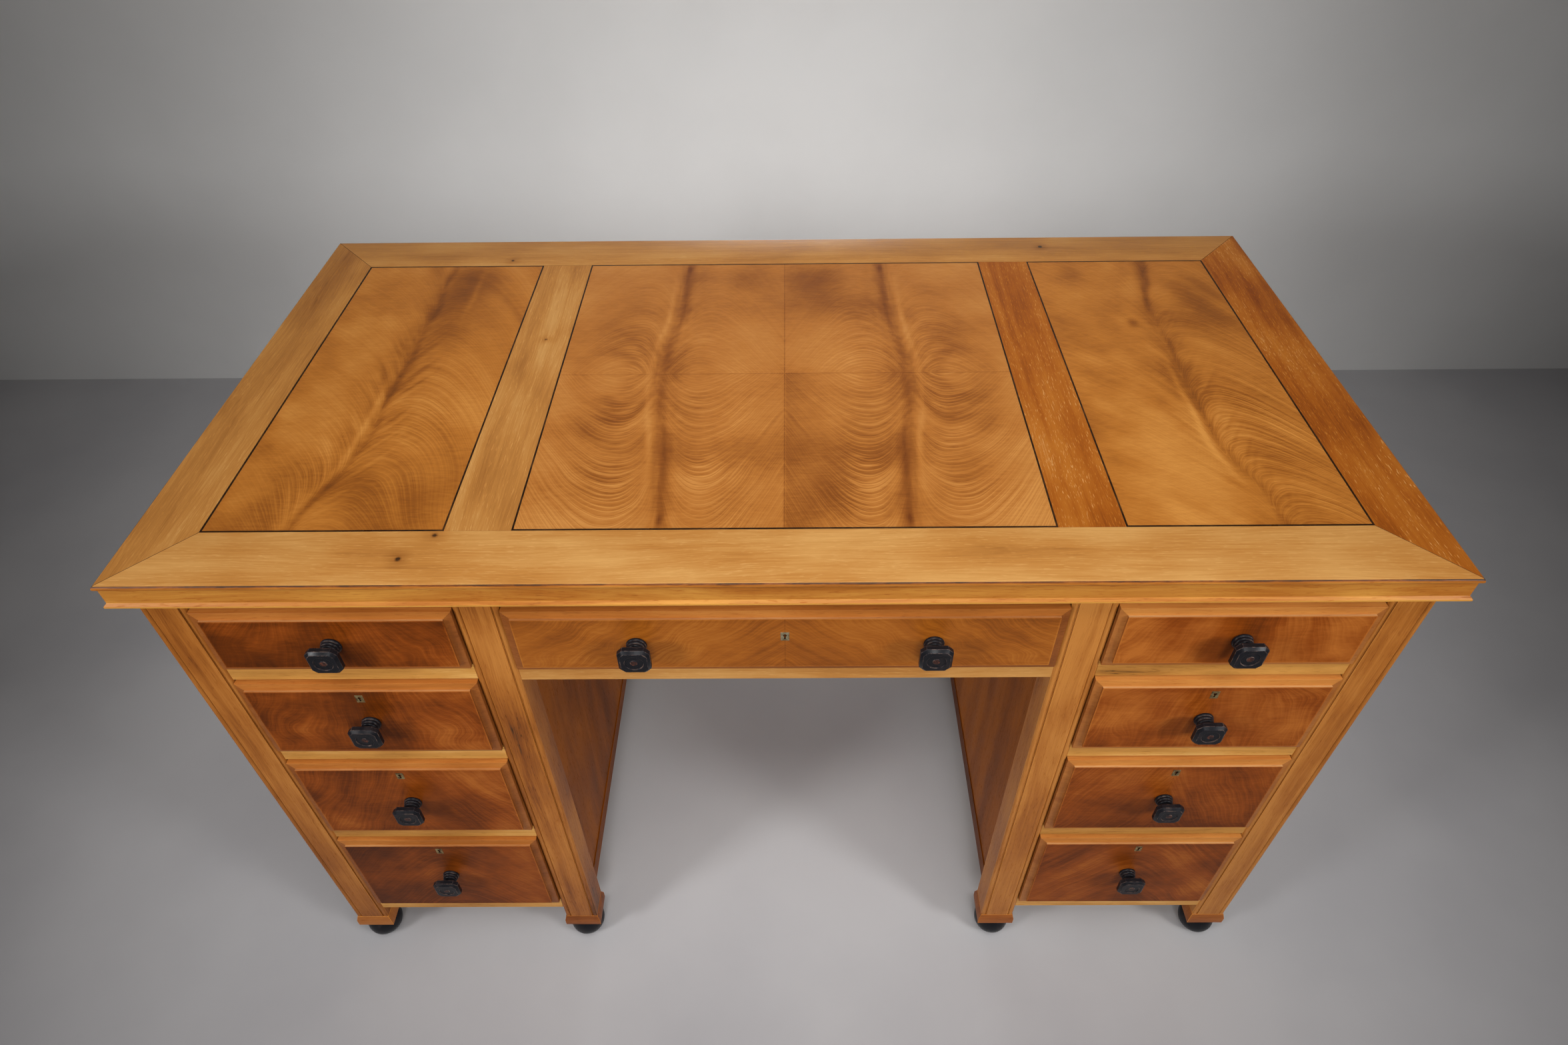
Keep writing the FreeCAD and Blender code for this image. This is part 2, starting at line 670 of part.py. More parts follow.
def foot_block_body():
    """A moulded block: an upright fillet with a slope up to the foot of the post."""
    body = new_body("foot_block")
    out = size.foot_block_projection
    wide = [(-out, -out), (size.post_width + out, -out), (size.post_width + out, size.post_depth + out),
            (-out, size.post_depth + out)]
    narrow = [(0, 0), (size.post_width, 0), (size.post_width, size.post_depth), (0, size.post_depth)]
    levels = ((wide, 0), (wide, size.foot_block_fillet), (narrow, size.foot_block_height))
    sections = []
    for number, (corners, level) in enumerate(levels):
        sections.append(outline(body, f"foot_block_section_{number}", "XY_Plane", corners, level))
    loft(body, "foot_block_loft", sections)
    return body


def ball_foot_body():
    """A turned ball foot with a flat sole and a dowel, about the Z axis."""
    body = new_body("ball_foot")
    dowel_top = size.foot_height + size.foot_block_height + size.foot_dowel_rise
    corners = [
        (0, 0),
        (size.foot_flat_radius, 0),
        (size.foot_neck_radius, size.foot_height, size.ball_radius, 1),
        (size.foot_dowel_radius, size.foot_height),
        (size.foot_dowel_radius, dowel_top),
        (0, dowel_top),
    ]
    revolve(body, "ball_foot_turning", outline(body, "ball_foot_profile", "XZ_Plane", corners))
    return body


def make_feet(front_posts, back_posts, feet):
    """Foot blocks and ball feet under the posts, and the dowel holes up into the posts."""
    ball = ball_foot_body()
    base = foot_block_body()
    half_width, half_depth = size.post_width / 2, size.post_depth / 2
    balls, blanks = [], []
    for number, (x, y) in enumerate(feet, start=1):
        balls.append(placed(f"ball_{number}", ball, x + half_width, y + half_depth, 0))
        blanks.append(placed(f"foot_blank_{number}", base, x, y, size.foot_height))
    bases = [cut(f"foot_block_{number}", blank, [foot])
             for number, (blank, foot) in enumerate(zip(blanks, balls))]
    fronts = [cut(f"front_post_{number}", post, [foot])
              for number, (post, foot) in enumerate(zip(front_posts, balls[0::2]))]
    rears = [cut(f"back_post_{number}", post, [foot])
             for number, (post, foot) in enumerate(zip(back_posts, balls[1::2]))]
    node("front_posts", fronts)
    node("back_posts", rears)
    node("foot_blocks", bases)
    node("ball_feet", balls)


def make_runners():
    """A runner and a guide at each side of every pedestal drawer, and the middle drawer's runners."""
    strips = []
    y_span = (post_back, back_post_front)
    wall_inner = kneehole_edge + size.panel_recess + size.panel_thickness
    wall_outer = carcass_edge - size.panel_recess - size.panel_thickness
    for side, hand in ((-1, "left"), (1, "right")):
        for number, (low, _) in enumerate(ROWS, start=1):
            name = f"{hand}_runner_{number}"
            runner_z = (low - size.runner_height, low)
            guide_z = (low, low + size.guide_height)
            for end, guide_x, runner_x in (
                ("inner", (wall_inner, opening_inner), (wall_inner, opening_inner + size.runner_bearing)),
                ("outer", (opening_outer, wall_outer), (opening_outer - size.runner_bearing, wall_outer)),
            ):
                strips.append(block(f"{name}_{end}", mirrored(side, *runner_x), y_span, runner_z))
                strips.append(block(f"{name}_{end}_guide", mirrored(side, *guide_x), y_span, guide_z))
        panel_face = kneehole_edge + size.panel_recess
        centre_x = mirrored(side, panel_face - size.centre_runner_width, panel_face)
        centre_z = (centre_rail, centre_rail + size.rail_height)
        strips.append(block(f"{hand}_centre_runner", centre_x, y_span, centre_z))
    node("drawer_runners", strips)


def knob_profile():
    """Half of the knob's turned profile, as (radius, height above the drawer's field).

    Three stacked rings, each smaller than the one below it, then a hollow up to the neck.
    """
    head_back = size.knob_projection - size.knob_head_depth
    ring = size.knob_ring_height
    neck_foot = head_back - size.knob_neck_length
    inside = head_back + size.knob_back_bevel
    bulge = bulge_radius(ring, size.knob_ring_bulge)
    profile = [
        (0, -size.knob_spigot_length),
        (size.knob_spigot_radius, -size.knob_spigot_length),
        (size.knob_spigot_radius, 0),
    ]
    level = 0
    for radius in (size.knob_base_radius, size.knob_ring_radius, size.knob_collar_radius):
        waist = radius - size.knob_ring_bulge
        profile.append((waist, level))
        level = level + ring
        profile.append((waist, level, bulge, 1))
    return profile + [
        (size.knob_neck_radius, neck_foot, size.knob_cove_radius, -1),
        (size.knob_neck_radius, inside),
        (0, inside),
    ]


def knob_body():
    """A turned knob with a clipped square head, along Z from the drawer's field at zero."""
    body = new_body("knob")
    revolve(body, "knob_stem", outline(body, "knob_profile", "XZ_Plane", knob_profile()))
    head_back = size.knob_projection - size.knob_head_depth
    half = size.knob_head_width / 2
    clip = size.knob_head_clip
    rear, rim = size.knob_back_bevel, size.knob_head_bevel
    levels = (
        (half - rear, clip - rear / 2, head_back),
        (half, clip, head_back + rear),
        (half, clip, size.knob_projection - rim),
        (half - rim, clip - rim / 2, size.knob_projection),
    )
    sections = []
    for number, (reach, corner, level) in enumerate(levels):
        square = clipped_square(reach, corner)
        sections.append(outline(body, f"knob_head_section_{number}", "XY_Plane", square, level))
    loft(body, "knob_head", sections)
    boss = size.knob_boss_radius
    floor = size.knob_projection - size.knob_boss_depth
    ring = [(0, floor), (boss, floor), (boss, size.knob_projection), (0, size.knob_projection)]
    ring_sketch = outline(body, "knob_ring_profile", "XZ_Plane", ring)
    groove = body.newObject("PartDesign::Groove", "knob_ring")
    groove.Profile = ring_sketch
    groove.ReferenceAxis = (ring_sketch, ["V_Axis"])
    groove.Angle = 360
    button = size.knob_button_radius
    top = floor + size.knob_button_rise
    button_profile = [(0, floor - button), (button, floor - button), (button, top), (0, top)]
    revolve(body, "knob_button", outline(body, "knob_button_profile", "XZ_Plane", button_profile))
    return body


def clipped_square(reach, clip):
    """Corners of a square with clipped corners, about the origin."""
    low, high = -reach, reach
    return [
        (low + clip, low),
        (high - clip, low),
        (high, low + clip),
        (high, high - clip),
        (high - clip, high),
        (low + clip, high),
        (low, high - clip),
        (low, low + clip),
    ]


def sloped_block(name, length, widths, heights, insets):
    """A block along Y whose front end is set in, or out, from its back end by an amount on each side.

    The widths and heights are those of the larger end. The insets are for the front and back ends, as
    ((front x, front z), (back x, back z)).
    """
    item = doc.addObject("Part::Wedge", name)
    (front_x, front_z), (back_x, back_z) = insets
    bind(item, Xmin=front_x, Xmax=widths - front_x, Zmin=front_z, Zmax=heights - front_z,
         X2min=back_x, X2max=widths - back_x, Z2min=back_z, Z2max=heights - back_z, Ymin=0, Ymax=length)
    return item


def front_board(name, x_span, z_span):
    """A drawer front: slab, sloped margin and raised field."""
    margin = size.bevel_width
    edge_face = rail_face - size.front_proud
    slope_start = field_plane + size.field_step
    slab = block(f"{name}_slab", x_span, (edge_face, rail_face + size.front_slab), z_span)
    slope = sloped_block(f"{name}_slope", size.bevel_rise, x_span[1] - x_span[0], z_span[1] - z_span[0],
                         ((margin, margin), (0, 0)))
    place(slope, x_span[0], slope_start, z_span[0])
    field = block(f"{name}_field", (x_span[0] + margin, x_span[1] - margin),
                  (field_plane, slope_start), (z_span[0] + margin, z_span[1] - margin))
    return fuse(f"{name}_board", [slab, slope, field])


def drawer_side(name, x_span, y_end, z_span, tails):
    """A drawer side with dovetails on its front end."""
    joint = rail_face + size.front_slab
    pieces = [block(f"{name}_board", x_span, (joint, y_end), z_span)]
    pitch = (z_span[1] - z_span[0]) / tails
    tail = pitch * TAIL_WIDTH_SHARE + size.dovetail_flare * 2
    for number in range(tails):
        piece = sloped_block(f"{name}_tail_{number + 1}", size.dovetail_length, x_span[1] - x_span[0], tail,
                             ((0, 0), (0, size.dovetail_flare)))
        middle = z_span[0] + pitch * (number + 0.5)
        pieces.append(place(piece, x_span[0], joint - size.dovetail_length, middle - tail / 2))
    return fuse(name, pieces)


def make_lock(name, middle_x, front_top, key_level):
    """A lock case with its key plate, and the bolt. Returns what the drawer front is cut for."""
    inner_face = rail_face + size.front_slab
    half = size.lock_width / 2
    case = block(f"{name}_blank", (middle_x - half, middle_x + half),
                 (inner_face - size.lock_depth, inner_face), (key_level - size.lock_tail, front_top))
    bolt_half, plane = size.bolt_width / 2, bolt_plane()
    thick = size.bolt_thickness / 2
    gap = size.bolt_gap
    bolt = block(f"{name}_bolt", (middle_x - bolt_half, middle_x + bolt_half),
                 (plane - thick, plane + thick), (front_top - size.bolt_length, front_top))
    slot = block(f"{name}_slot", (middle_x - bolt_half - gap, middle_x + bolt_half + gap),
                 (plane - thick - gap, plane + thick + gap),
                 (front_top - size.bolt_length - gap, front_top + size.cutter_overrun))
    plate_half = size.key_plate_width / 2
    plate_top = key_level + size.key_plate_rise
    plate_face = field_plane - size.key_plate_proud
    plate = block(f"{name}_plate_blank", (middle_x - plate_half, middle_x + plate_half),
                  (plate_face, plate_face + size.key_plate_thickness),
                  (plate_top - size.key_plate_height, plate_top))
    start = plate_face - size.cutter_overrun
    end = inner_face - size.lock_depth
    slot_half = size.keyhole_slot_width / 2
    hole = doc.addObject("Part::Cylinder", f"{name}_hole")
    bind(hole, Radius=size.keyhole_radius, Height=end - start)
    hole.Placement = FreeCAD.Placement(FreeCAD.Vector(), FreeCAD.Rotation(FreeCAD.Vector(1, 0, 0), 90))
    place(hole, middle_x, end, key_level)
    drop = block(f"{name}_drop", (middle_x - slot_half, middle_x + slot_half), (start, end),
                 (key_level - size.keyhole_slot_drop, key_level))
    keyhole = fuse(f"{name}_keyhole", [hole, drop])
    node(f"{name}_lock", [cut(f"{name}_case", case, [slot]), cut(f"{name}_plate", plate, [keyhole])])
    node(f"{name}_lock_bolt", [bolt])
    return [case, plate, keyhole]


def make_drawer(name, opening, length, tails, knob, knob_places, key_drop):
    """A dovetailed drawer: front, box, knobs and, where key_drop is given, a lock with its bolt.

    opening is (x span, z span), and knob_places is a list of x with the height above the front's middle.
    """
    opening_x, opening_z = opening
    x_span = (opening_x[0] + size.drawer_side_gap, opening_x[1] - size.drawer_side_gap)
    z_span = (opening_z[0] + size.sliding_gap, opening_z[1] - size.drawer_top_gap)
    side_z = (z_span[0], z_span[1] - size.box_top_drop)
    inner_x = (x_span[0] + size.box_side_thickness, x_span[1] - size.box_side_thickness)
    groove = size.box_groove_depth
    joint = rail_face + size.front_slab
    y_end = front_plane + length
    bottom_z = z_span[0] + size.box_bottom_rise
    bottom_top = bottom_z + size.box_bottom_thickness
    housed_x = (inner_x[0] - groove, inner_x[1] + groove)
    bottom = block(f"{name}_bottom", housed_x, (joint - groove, y_end), (bottom_z, bottom_top))
    back_y = y_end - size.box_back_setback
    back_span = (back_y - size.box_back_thickness, back_y)
    back = block(f"{name}_back", housed_x, back_span, (bottom_top, side_z[1]))
    sides = []
    for hand, span in (("left", (x_span[0], inner_x[0])), ("right", (inner_x[1], x_span[1]))):
        tailed = drawer_side(f"{name}_{hand}_tailed", span, y_end, side_z, tails)
        sides.append(cut(f"{name}_{hand}_side", tailed, [bottom, back]))
    turn = FreeCAD.Rotation(FreeCAD.Vector(1, 0, 0), 90)
    middle_z = (z_span[0] + z_span[1]) / 2
    own_knobs = [placed(f"{name}_knob_{number}", knob, x, field_plane, middle_z + rise, turn)
                 for number, (x, rise) in enumerate(knob_places, start=1)]
    tools = sides + [bottom] + own_knobs
    if key_drop is not None:
        middle_x = (x_span[0] + x_span[1]) / 2
        tools += make_lock(name, middle_x, z_span[1], z_span[1] - key_drop)
    front = front_board(f"{name}_front", x_span, z_span)
    for number, tool in enumerate(tools, start=1):
        front = cut(f"{name}_front_cut_{number}", front, [tool])
    node(f"{name}_front", [front])
    node(f"{name}_box", sides + [back, bottom])
    node(f"{name}_knob" if len(own_knobs) == 1 else f"{name}_knobs", own_knobs)


def make_drawers():
    """Four graduated drawers in each pedestal and one over the kneehole."""
    knob = knob_body()
    for side, hand in ((-1, "left"), (1, "right")):
        for number, opening_z in enumerate(ROWS, start=1):
            opening = (mirrored(side, opening_inner, opening_outer), opening_z)
            rise = size.bottom_knob_rise if number == len(ROWS) else 0
            make_drawer(f"{hand}_drawer_{number}", opening, size.drawer_length, TAIL_COUNTS[number - 1],
                        knob, [(pedestal_middle * side, rise)], None if number == 1 else size.keyhole_drop)
    half = size.centre_knob_spacing / 2
    opening = ((-kneehole_edge, kneehole_edge), (centre_rail + size.rail_height, top_rail))
    make_drawer("centre_drawer", opening, size.centre_drawer_length, CENTRE_TAIL_COUNT,
                knob, [(-half, 0), (half, 0)], size.centre_keyhole_drop)


def check_and_export():
    """Stop on any failed object or bad shape, then write one file for each sub-part."""
    for item in doc.Objects:
        if "Invalid" in item.State or "Error" in item.State:
            raise RuntimeError(f"{item.Name} failed: {item.State}")
    for item in nodes:
        if item.Shape.isNull() or not item.Shape.isValid() or len(item.Shape.Solids) == 0:
            raise RuntimeError(f"{item.Label} has no valid solid")
    os.makedirs("parts", exist_ok=True)
    for item in nodes:
        item.Shape.exportStep(os.path.join("parts", f"{item.Label}.step"))
        box = item.Shape.BoundBox
        print(f"{item.Label}: {len(item.Shape.Solids)} solids, {item.Shape.Volume / 1000:.1f} cm3, "
              f"x {box.XMin:.1f} to {box.XMax:.1f}, y {box.YMin:.1f} to {box.YMax:.1f}, "
              f"z {box.ZMin:.1f} to {box.ZMax:.1f}")


def main():
    """Build every sub-part, check it and write its file."""
    make_top()
    rails = make_rails()
    walls, apron = make_walls()
    front_posts, back_posts, feet = make_posts(rails, walls, apron)
    make_feet(front_posts, back_posts, feet)
    make_runners()
    make_drawers()
    doc.recompute()
    check_and_export()


main()
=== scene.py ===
"""Kneehole desk in waxed honey walnut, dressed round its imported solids.

The solids hold the shapes. This script gives every board its own grain, lays the matched crotch veneers
on the top and on the drawer fronts, softens the edges, and adds the studio, its lamps and the camera.
Lengths named _mm are millimetres; everything that Blender receives is in metres, in the solids' frame.
"""

from __future__ import annotations

import json
import logging
import math
from collections.abc import Callable, Sequence
from dataclasses import dataclass, field
from enum import Enum
from functools import cached_property
from typing import Any

import bmesh
import bpy
import numpy as np
from mathutils import Matrix, Vector

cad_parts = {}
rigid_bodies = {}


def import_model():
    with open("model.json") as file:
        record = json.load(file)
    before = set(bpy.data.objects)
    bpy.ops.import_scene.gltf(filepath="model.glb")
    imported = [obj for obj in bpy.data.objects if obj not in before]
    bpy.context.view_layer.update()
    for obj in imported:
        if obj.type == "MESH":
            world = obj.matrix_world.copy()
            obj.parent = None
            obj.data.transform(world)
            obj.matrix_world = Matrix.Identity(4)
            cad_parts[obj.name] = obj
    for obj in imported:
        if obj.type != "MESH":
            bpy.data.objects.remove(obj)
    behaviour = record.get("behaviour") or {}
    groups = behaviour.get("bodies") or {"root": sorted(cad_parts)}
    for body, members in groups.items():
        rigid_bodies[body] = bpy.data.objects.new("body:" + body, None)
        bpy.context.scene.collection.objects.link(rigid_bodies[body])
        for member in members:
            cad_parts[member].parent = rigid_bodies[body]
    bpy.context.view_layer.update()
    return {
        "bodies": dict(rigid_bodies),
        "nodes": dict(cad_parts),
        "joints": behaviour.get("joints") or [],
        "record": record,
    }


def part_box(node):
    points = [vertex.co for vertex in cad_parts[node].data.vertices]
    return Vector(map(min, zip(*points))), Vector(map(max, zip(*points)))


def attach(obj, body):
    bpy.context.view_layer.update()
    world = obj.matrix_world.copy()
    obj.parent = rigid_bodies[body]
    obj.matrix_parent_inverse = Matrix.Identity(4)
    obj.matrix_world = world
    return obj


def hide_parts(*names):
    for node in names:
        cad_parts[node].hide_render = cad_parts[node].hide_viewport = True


log = logging.getLogger("kneehole_desk")

Array = np.ndarray
Frame = dict[str, Any]
Mesh = bpy.types.Mesh
Socket = bpy.types.NodeSocket
Tree = bpy.types.NodeTree
Part = tuple[Socket, float, float]
Rectangle = tuple[float, float, float, float]
Triple = tuple[float, float, float]

MM = 0.001
# Faces that meet at less than this angle are shaded as one; sharper edges are rounded.
SMOOTH_DEG = 32.0
# Vertices this near are welded, and triangles this nearly level with each other become one face.
WELD_MM, FLAT_DEG = 0.01, 0.6
# What is this near to a level counts as lying on it.
CLOSE_MM = 0.1
# The veneers lie this far apart in the pattern of the ribs, so that no two are alike.
SHEETS_APART_MM = 4300.0
# How far away a seam is that a veneer doesn't have.
NO_SEAM_MM = 50.0
# Knots of the border boards: x, y and the radius of the eye.
KNOTS_MM = ((-362.0, -293.0, 4.6), (-336.0, -261.0, 5.0), (-375.0, 285.0, 4.0), (356.0, 313.0, 4.0),
            (-292.0, 84.0, 3.6))
# How much a knot's eye and the wider stain round it darken the wood.
EYE, STAIN = -0.42, -0.2


class Grain(Enum):
    """Which way the grain of a board runs."""

    LONGEST = -1
    ACROSS = 0
    UPRIGHT = 2


class Coordinates(Enum):
    """What a timber's pattern is laid on: each board's own grain, or the whole piece."""

    BOARD = "board"
    PIECE = "piece"


class Figure(Enum):
    """How the matched veneer of a drawer front is drawn."""

    FAN = "fan"
    PEAK = "peak"
    ARCH = "arch"


def linear(code: str) -> tuple[float, float, float, float]:
    """Turns an sRGB hex colour into linear red, green, blue and alpha.

    Args:
        code: Six hex digits after a hash.

    Returns:
        The four linear values.
    """
    parts = [int(code[start:start + 2], 16) / 255 for start in (1, 3, 5)]
    low = [part / 12.92 if part <= 0.04045 else ((part + 0.055) / 1.055) ** 2.4 for part in parts]
    return low[0], low[1], low[2], 1.0


def add_node(tree: Tree, kind: str, settings: dict[Any, Any] | None = None,
             links: dict[Any, Socket] | None = None, output: int | str = 0) -> Socket | None:
    """Adds one node with its settings and links.

    Args:
        tree: The material's node tree.
        kind: The node's class name after ShaderNode.
        settings: Values by input name or number, or by property name; "stops" holds a ramp's colours.
        links: Sources by input name or number.
        output: The name or number of the output that is wanted.

    Returns:
        That output, or None from a node that has none.
    """
    node = tree.nodes.new(f"ShaderNode{kind}")
    for key, value in (settings or {}).items():
        if key == "stops":
            ramp = node.color_ramp
            while len(ramp.elements) < len(value):
                ramp.elements.new(1.0)
            for element, (position, code) in zip(ramp.elements, value):
                element.position = position
                element.color = linear(code)
        elif isinstance(key, int) or key in node.inputs:
            node.inputs[key].default_value = value
        else:
            setattr(node, key, value)
    for key, source in (links or {}).items():
        tree.links.new(source, node.inputs[key])
    return node.outputs[output] if node.outputs else None


def weighted(tree: Tree, start: float, parts: Sequence[Part]) -> Socket:
    """Adds up patterns: start, plus (pattern less its middle) times its weight, for each.

    Args:
        tree: The material's node tree.
        start: The value where every pattern is at its middle.
        parts: (pattern, middle, weight) for each pattern.

    Returns:
        The socket that carries the sum.
    """
    total = start - sum(middle * weight for _, middle, weight in parts)
    so_far = {}
    for pattern, _, weight in parts:
        socket = add_node(tree, "Math", {"operation": "MULTIPLY_ADD", 1: weight, 2: total},
                          {0: pattern, **so_far})
        so_far = {2: socket}
    return socket


def stretched_noises(tree: Tree, rows: Sequence[tuple[Socket, Triple, float, float]]) -> list[Socket]:
    """Lays one cloudy pattern for each row, stretched along its axes.

    Args:
        tree: The material's node tree.
        rows: (place, patches per metre along each axis, detail, roughness) for each pattern.

    Returns:
        The sockets that carry the patterns, from 0 to 1.
    """
    found = []
    for place, scale, detail, roughness in rows:
        at = add_node(tree, "Mapping", {"Scale": scale}, {"Vector": place})
        found.append(add_node(tree, "TexNoise", {"Scale": 1.0, "Detail": detail, "Roughness": roughness},
                              {"Vector": at}, "Fac"))
    return found


def finish_surface(tree: Tree, colour: Socket, rough: Socket, relief: Socket, strength: float,
                   depth_mm: float, metallic: float = 0.0, gloss: float = 0.18,
                   gone: Socket | None = None) -> None:
    """Ends a material with its relief, its shader and its output.

    Args:
        tree: The material's node tree.
        colour: Carries the base colour.
        rough: Carries the roughness.
        relief: Carries the height of the surface, from 0 to 1.
        strength: How much of the relief shows.
        depth_mm: The height that 1 stands for.
        metallic: 1 for bare metal, less under tarnish.
        gloss: The shader's specular level.
        gone: Carries 1 where the surface isn't there.
    """
    bump = add_node(tree, "Bump", {"Strength": strength, "Distance": depth_mm * MM}, {"Height": relief})
    shader = add_node(tree, "BsdfPrincipled",
                      {"IOR": 1.5, "Metallic": metallic, "Specular IOR Level": gloss},
                      {"Base Color": colour, "Roughness": rough, "Normal": bump})
    if gone is not None:
        clear = add_node(tree, "BsdfTransparent")
        shader = add_node(tree, "MixShader", links={0: gone, 1: shader, 2: clear})
    add_node(tree, "OutputMaterial", links={"Surface": shader})


class Finish:
    """A finish, which makes its material once, when a piece first asks for it."""

    name: str

    @cached_property
    def made(self) -> bpy.types.Material:
        """The finish's material."""
        material = bpy.data.materials.new(self.name)
        material.use_nodes = True
        material.node_tree.nodes.clear()
        self.paint(material.node_tree)
        return material

    def paint(self, tree: Tree) -> None:
        """Fills the material's empty node tree."""
        raise NotImplementedError


@dataclass(frozen=True)
class Timber(Finish):
    """Walnut planed, stained honey and waxed: long soft bands, fine fibres, and short open pores.

    The wax leaves a low sheen, a little duller where the pores are open. A knot is a small dark eye in
    a wider stained halo. A line along an edge has a height, a half width and a weight; a dark line is
    dirt, and a pale one is a painted highlight with a little wear.
    """

    name: str
    deep: str
    body: str
    pale: str
    ring_mm: float = 16.0
    pore_length_mm: float = 11.0
    pore_width_mm: float = 1.2
    pore_dark: float = 0.12
    band: float = 0.6
    fibre: float = 0.25
    mottle: float = 0.55
    roughness: float = 0.42
    spread: float = 0.3
    dirt: str = "#3E2614"
    filler: str | None = None
    gloss: float = 0.18
    knots_mm: tuple[Triple, ...] = ()
    lines_mm: tuple[Triple, ...] = ()
    coordinates: Coordinates = Coordinates.BOARD
    turned_deg: float = 0.0

    def _place(self, tree: Tree) -> Socket:
        """Where the pattern lies: the board's own grain, or the piece turned into its grain."""
        if self.coordinates is Coordinates.BOARD:
            return add_node(tree, "Attribute", {"attribute_name": "grain"}, output="Vector")
        held = add_node(tree, "TexCoord", output="Object")
        turn = (0.0, 0.0, math.radians(self.turned_deg))
        return add_node(tree, "Mapping", {"Rotation": turn}, {"Vector": held})

    def _marks(self, tree: Tree) -> list[Part]:
        """Draws every knot's eye and stain, and every line of dirt and painted highlight along an edge.

        Args:
            tree: The material's node tree.

        Returns:
            The marks as parts of a weighted sum.
        """
        held = add_node(tree, "TexCoord", output="Object")
        flat = add_node(tree, "VectorMath", {"operation": "MULTIPLY", 1: (1.0, 1.0, 0.0)}, {0: held})
        marks = []
        for x, y, radius in self.knots_mm:
            away = add_node(tree, "VectorMath", {"operation": "DISTANCE", 1: (x * MM, y * MM, 0.0)},
                            {0: flat}, "Value")
            marks += [(away, radius, EYE, {}), (away, radius * 4, STAIN, {})]
        if self.lines_mm:
            height = add_node(tree, "SeparateXYZ", links={0: held}, output="Z")
            # The lines come and go along the edge, every few centimetres.
            breaks = stretched_noises(tree, [(held, (45.0, 45.0, 300.0), 4.0, 0.7)])[0]
        for level, reach, weight in self.lines_mm:
            off = add_node(tree, "Math", {"operation": "SUBTRACT", 1: level * MM}, {0: height})
            away = add_node(tree, "Math", {"operation": "ABSOLUTE"}, {0: off})
            marks.append((away, reach, weight, {"To Max": breaks}))
        parts = []
        for away, reach, weight, limit in marks:
            fading = {"interpolation_type": "SMOOTHSTEP", "From Min": reach * MM, "From Max": 0.0}
            parts.append((add_node(tree, "MapRange", fading, {"Value": away, **limit}), 0.0, weight))
        return parts

    def paint(self, tree: Tree) -> None:
        """Draws the timber."""
        place = self._place(tree)
        tone = add_node(tree, "Attribute", {"attribute_name": "tone"}, output="Fac")
        # The bands wander by up to a few millimetres over a hand's breadth, as a sawn log's rings do.
        bend = stretched_noises(tree, [(place, (2.6, 13.0, 13.0), 2.0, 0.5)])[0].node.outputs["Color"]
        bent = add_node(tree, "VectorMath", {"operation": "MULTIPLY_ADD", 1: (0.0, 0.03, 0.03)},
                        {0: bend, 2: place})
        ring, across, along = (1 / (size * MM)
                               for size in (self.ring_mm, self.pore_width_mm, self.pore_length_mm))
        rings, fibres, spots, mottle = stretched_noises(tree, [
            (bent, (1.3, ring, ring * 0.4), 5.0, 0.62),
            # Fibres about 1.5 mm apart, drawn as coarse as the render can show.
            (bent, (16.0, 650.0, 650.0), 2.0, 0.5),
            (bent, (along, across, across), 1.0, 0.5),
            (place, (7.0, 16.0, 16.0), 3.0, 0.5),
        ])
        pores = add_node(tree, "MapRange", {"From Min": 0.6, "From Max": 0.72}, {"Value": spots})
        parts = [(rings, 0.5, self.band), (fibres, 0.5, self.fibre), (mottle, 0.5, self.mottle),
                 (tone, 0.0, 0.3), (pores, 0.0, -self.pore_dark)]
        if self.knots_mm or self.lines_mm:
            parts += self._marks(tree)
        stops = [(0.0, self.dirt), (0.5 - self.spread, self.deep), (0.5, self.body),
                 (0.5 + self.spread, self.pale), (1.0, self.filler or self.pale)]
        colour = add_node(tree, "ValToRGB", {"stops": stops}, {"Fac": weighted(tree, 0.5, parts)})
        rough = weighted(tree, self.roughness, [(pores, 0.0, 0.16), (mottle, 0.5, 0.2)])
        relief = weighted(tree, 0.5, [(pores, 0.0, -0.7), (fibres, 0.5, 0.4)])
        finish_surface(tree, colour, rough, relief, 0.3, 0.3, gloss=self.gloss)


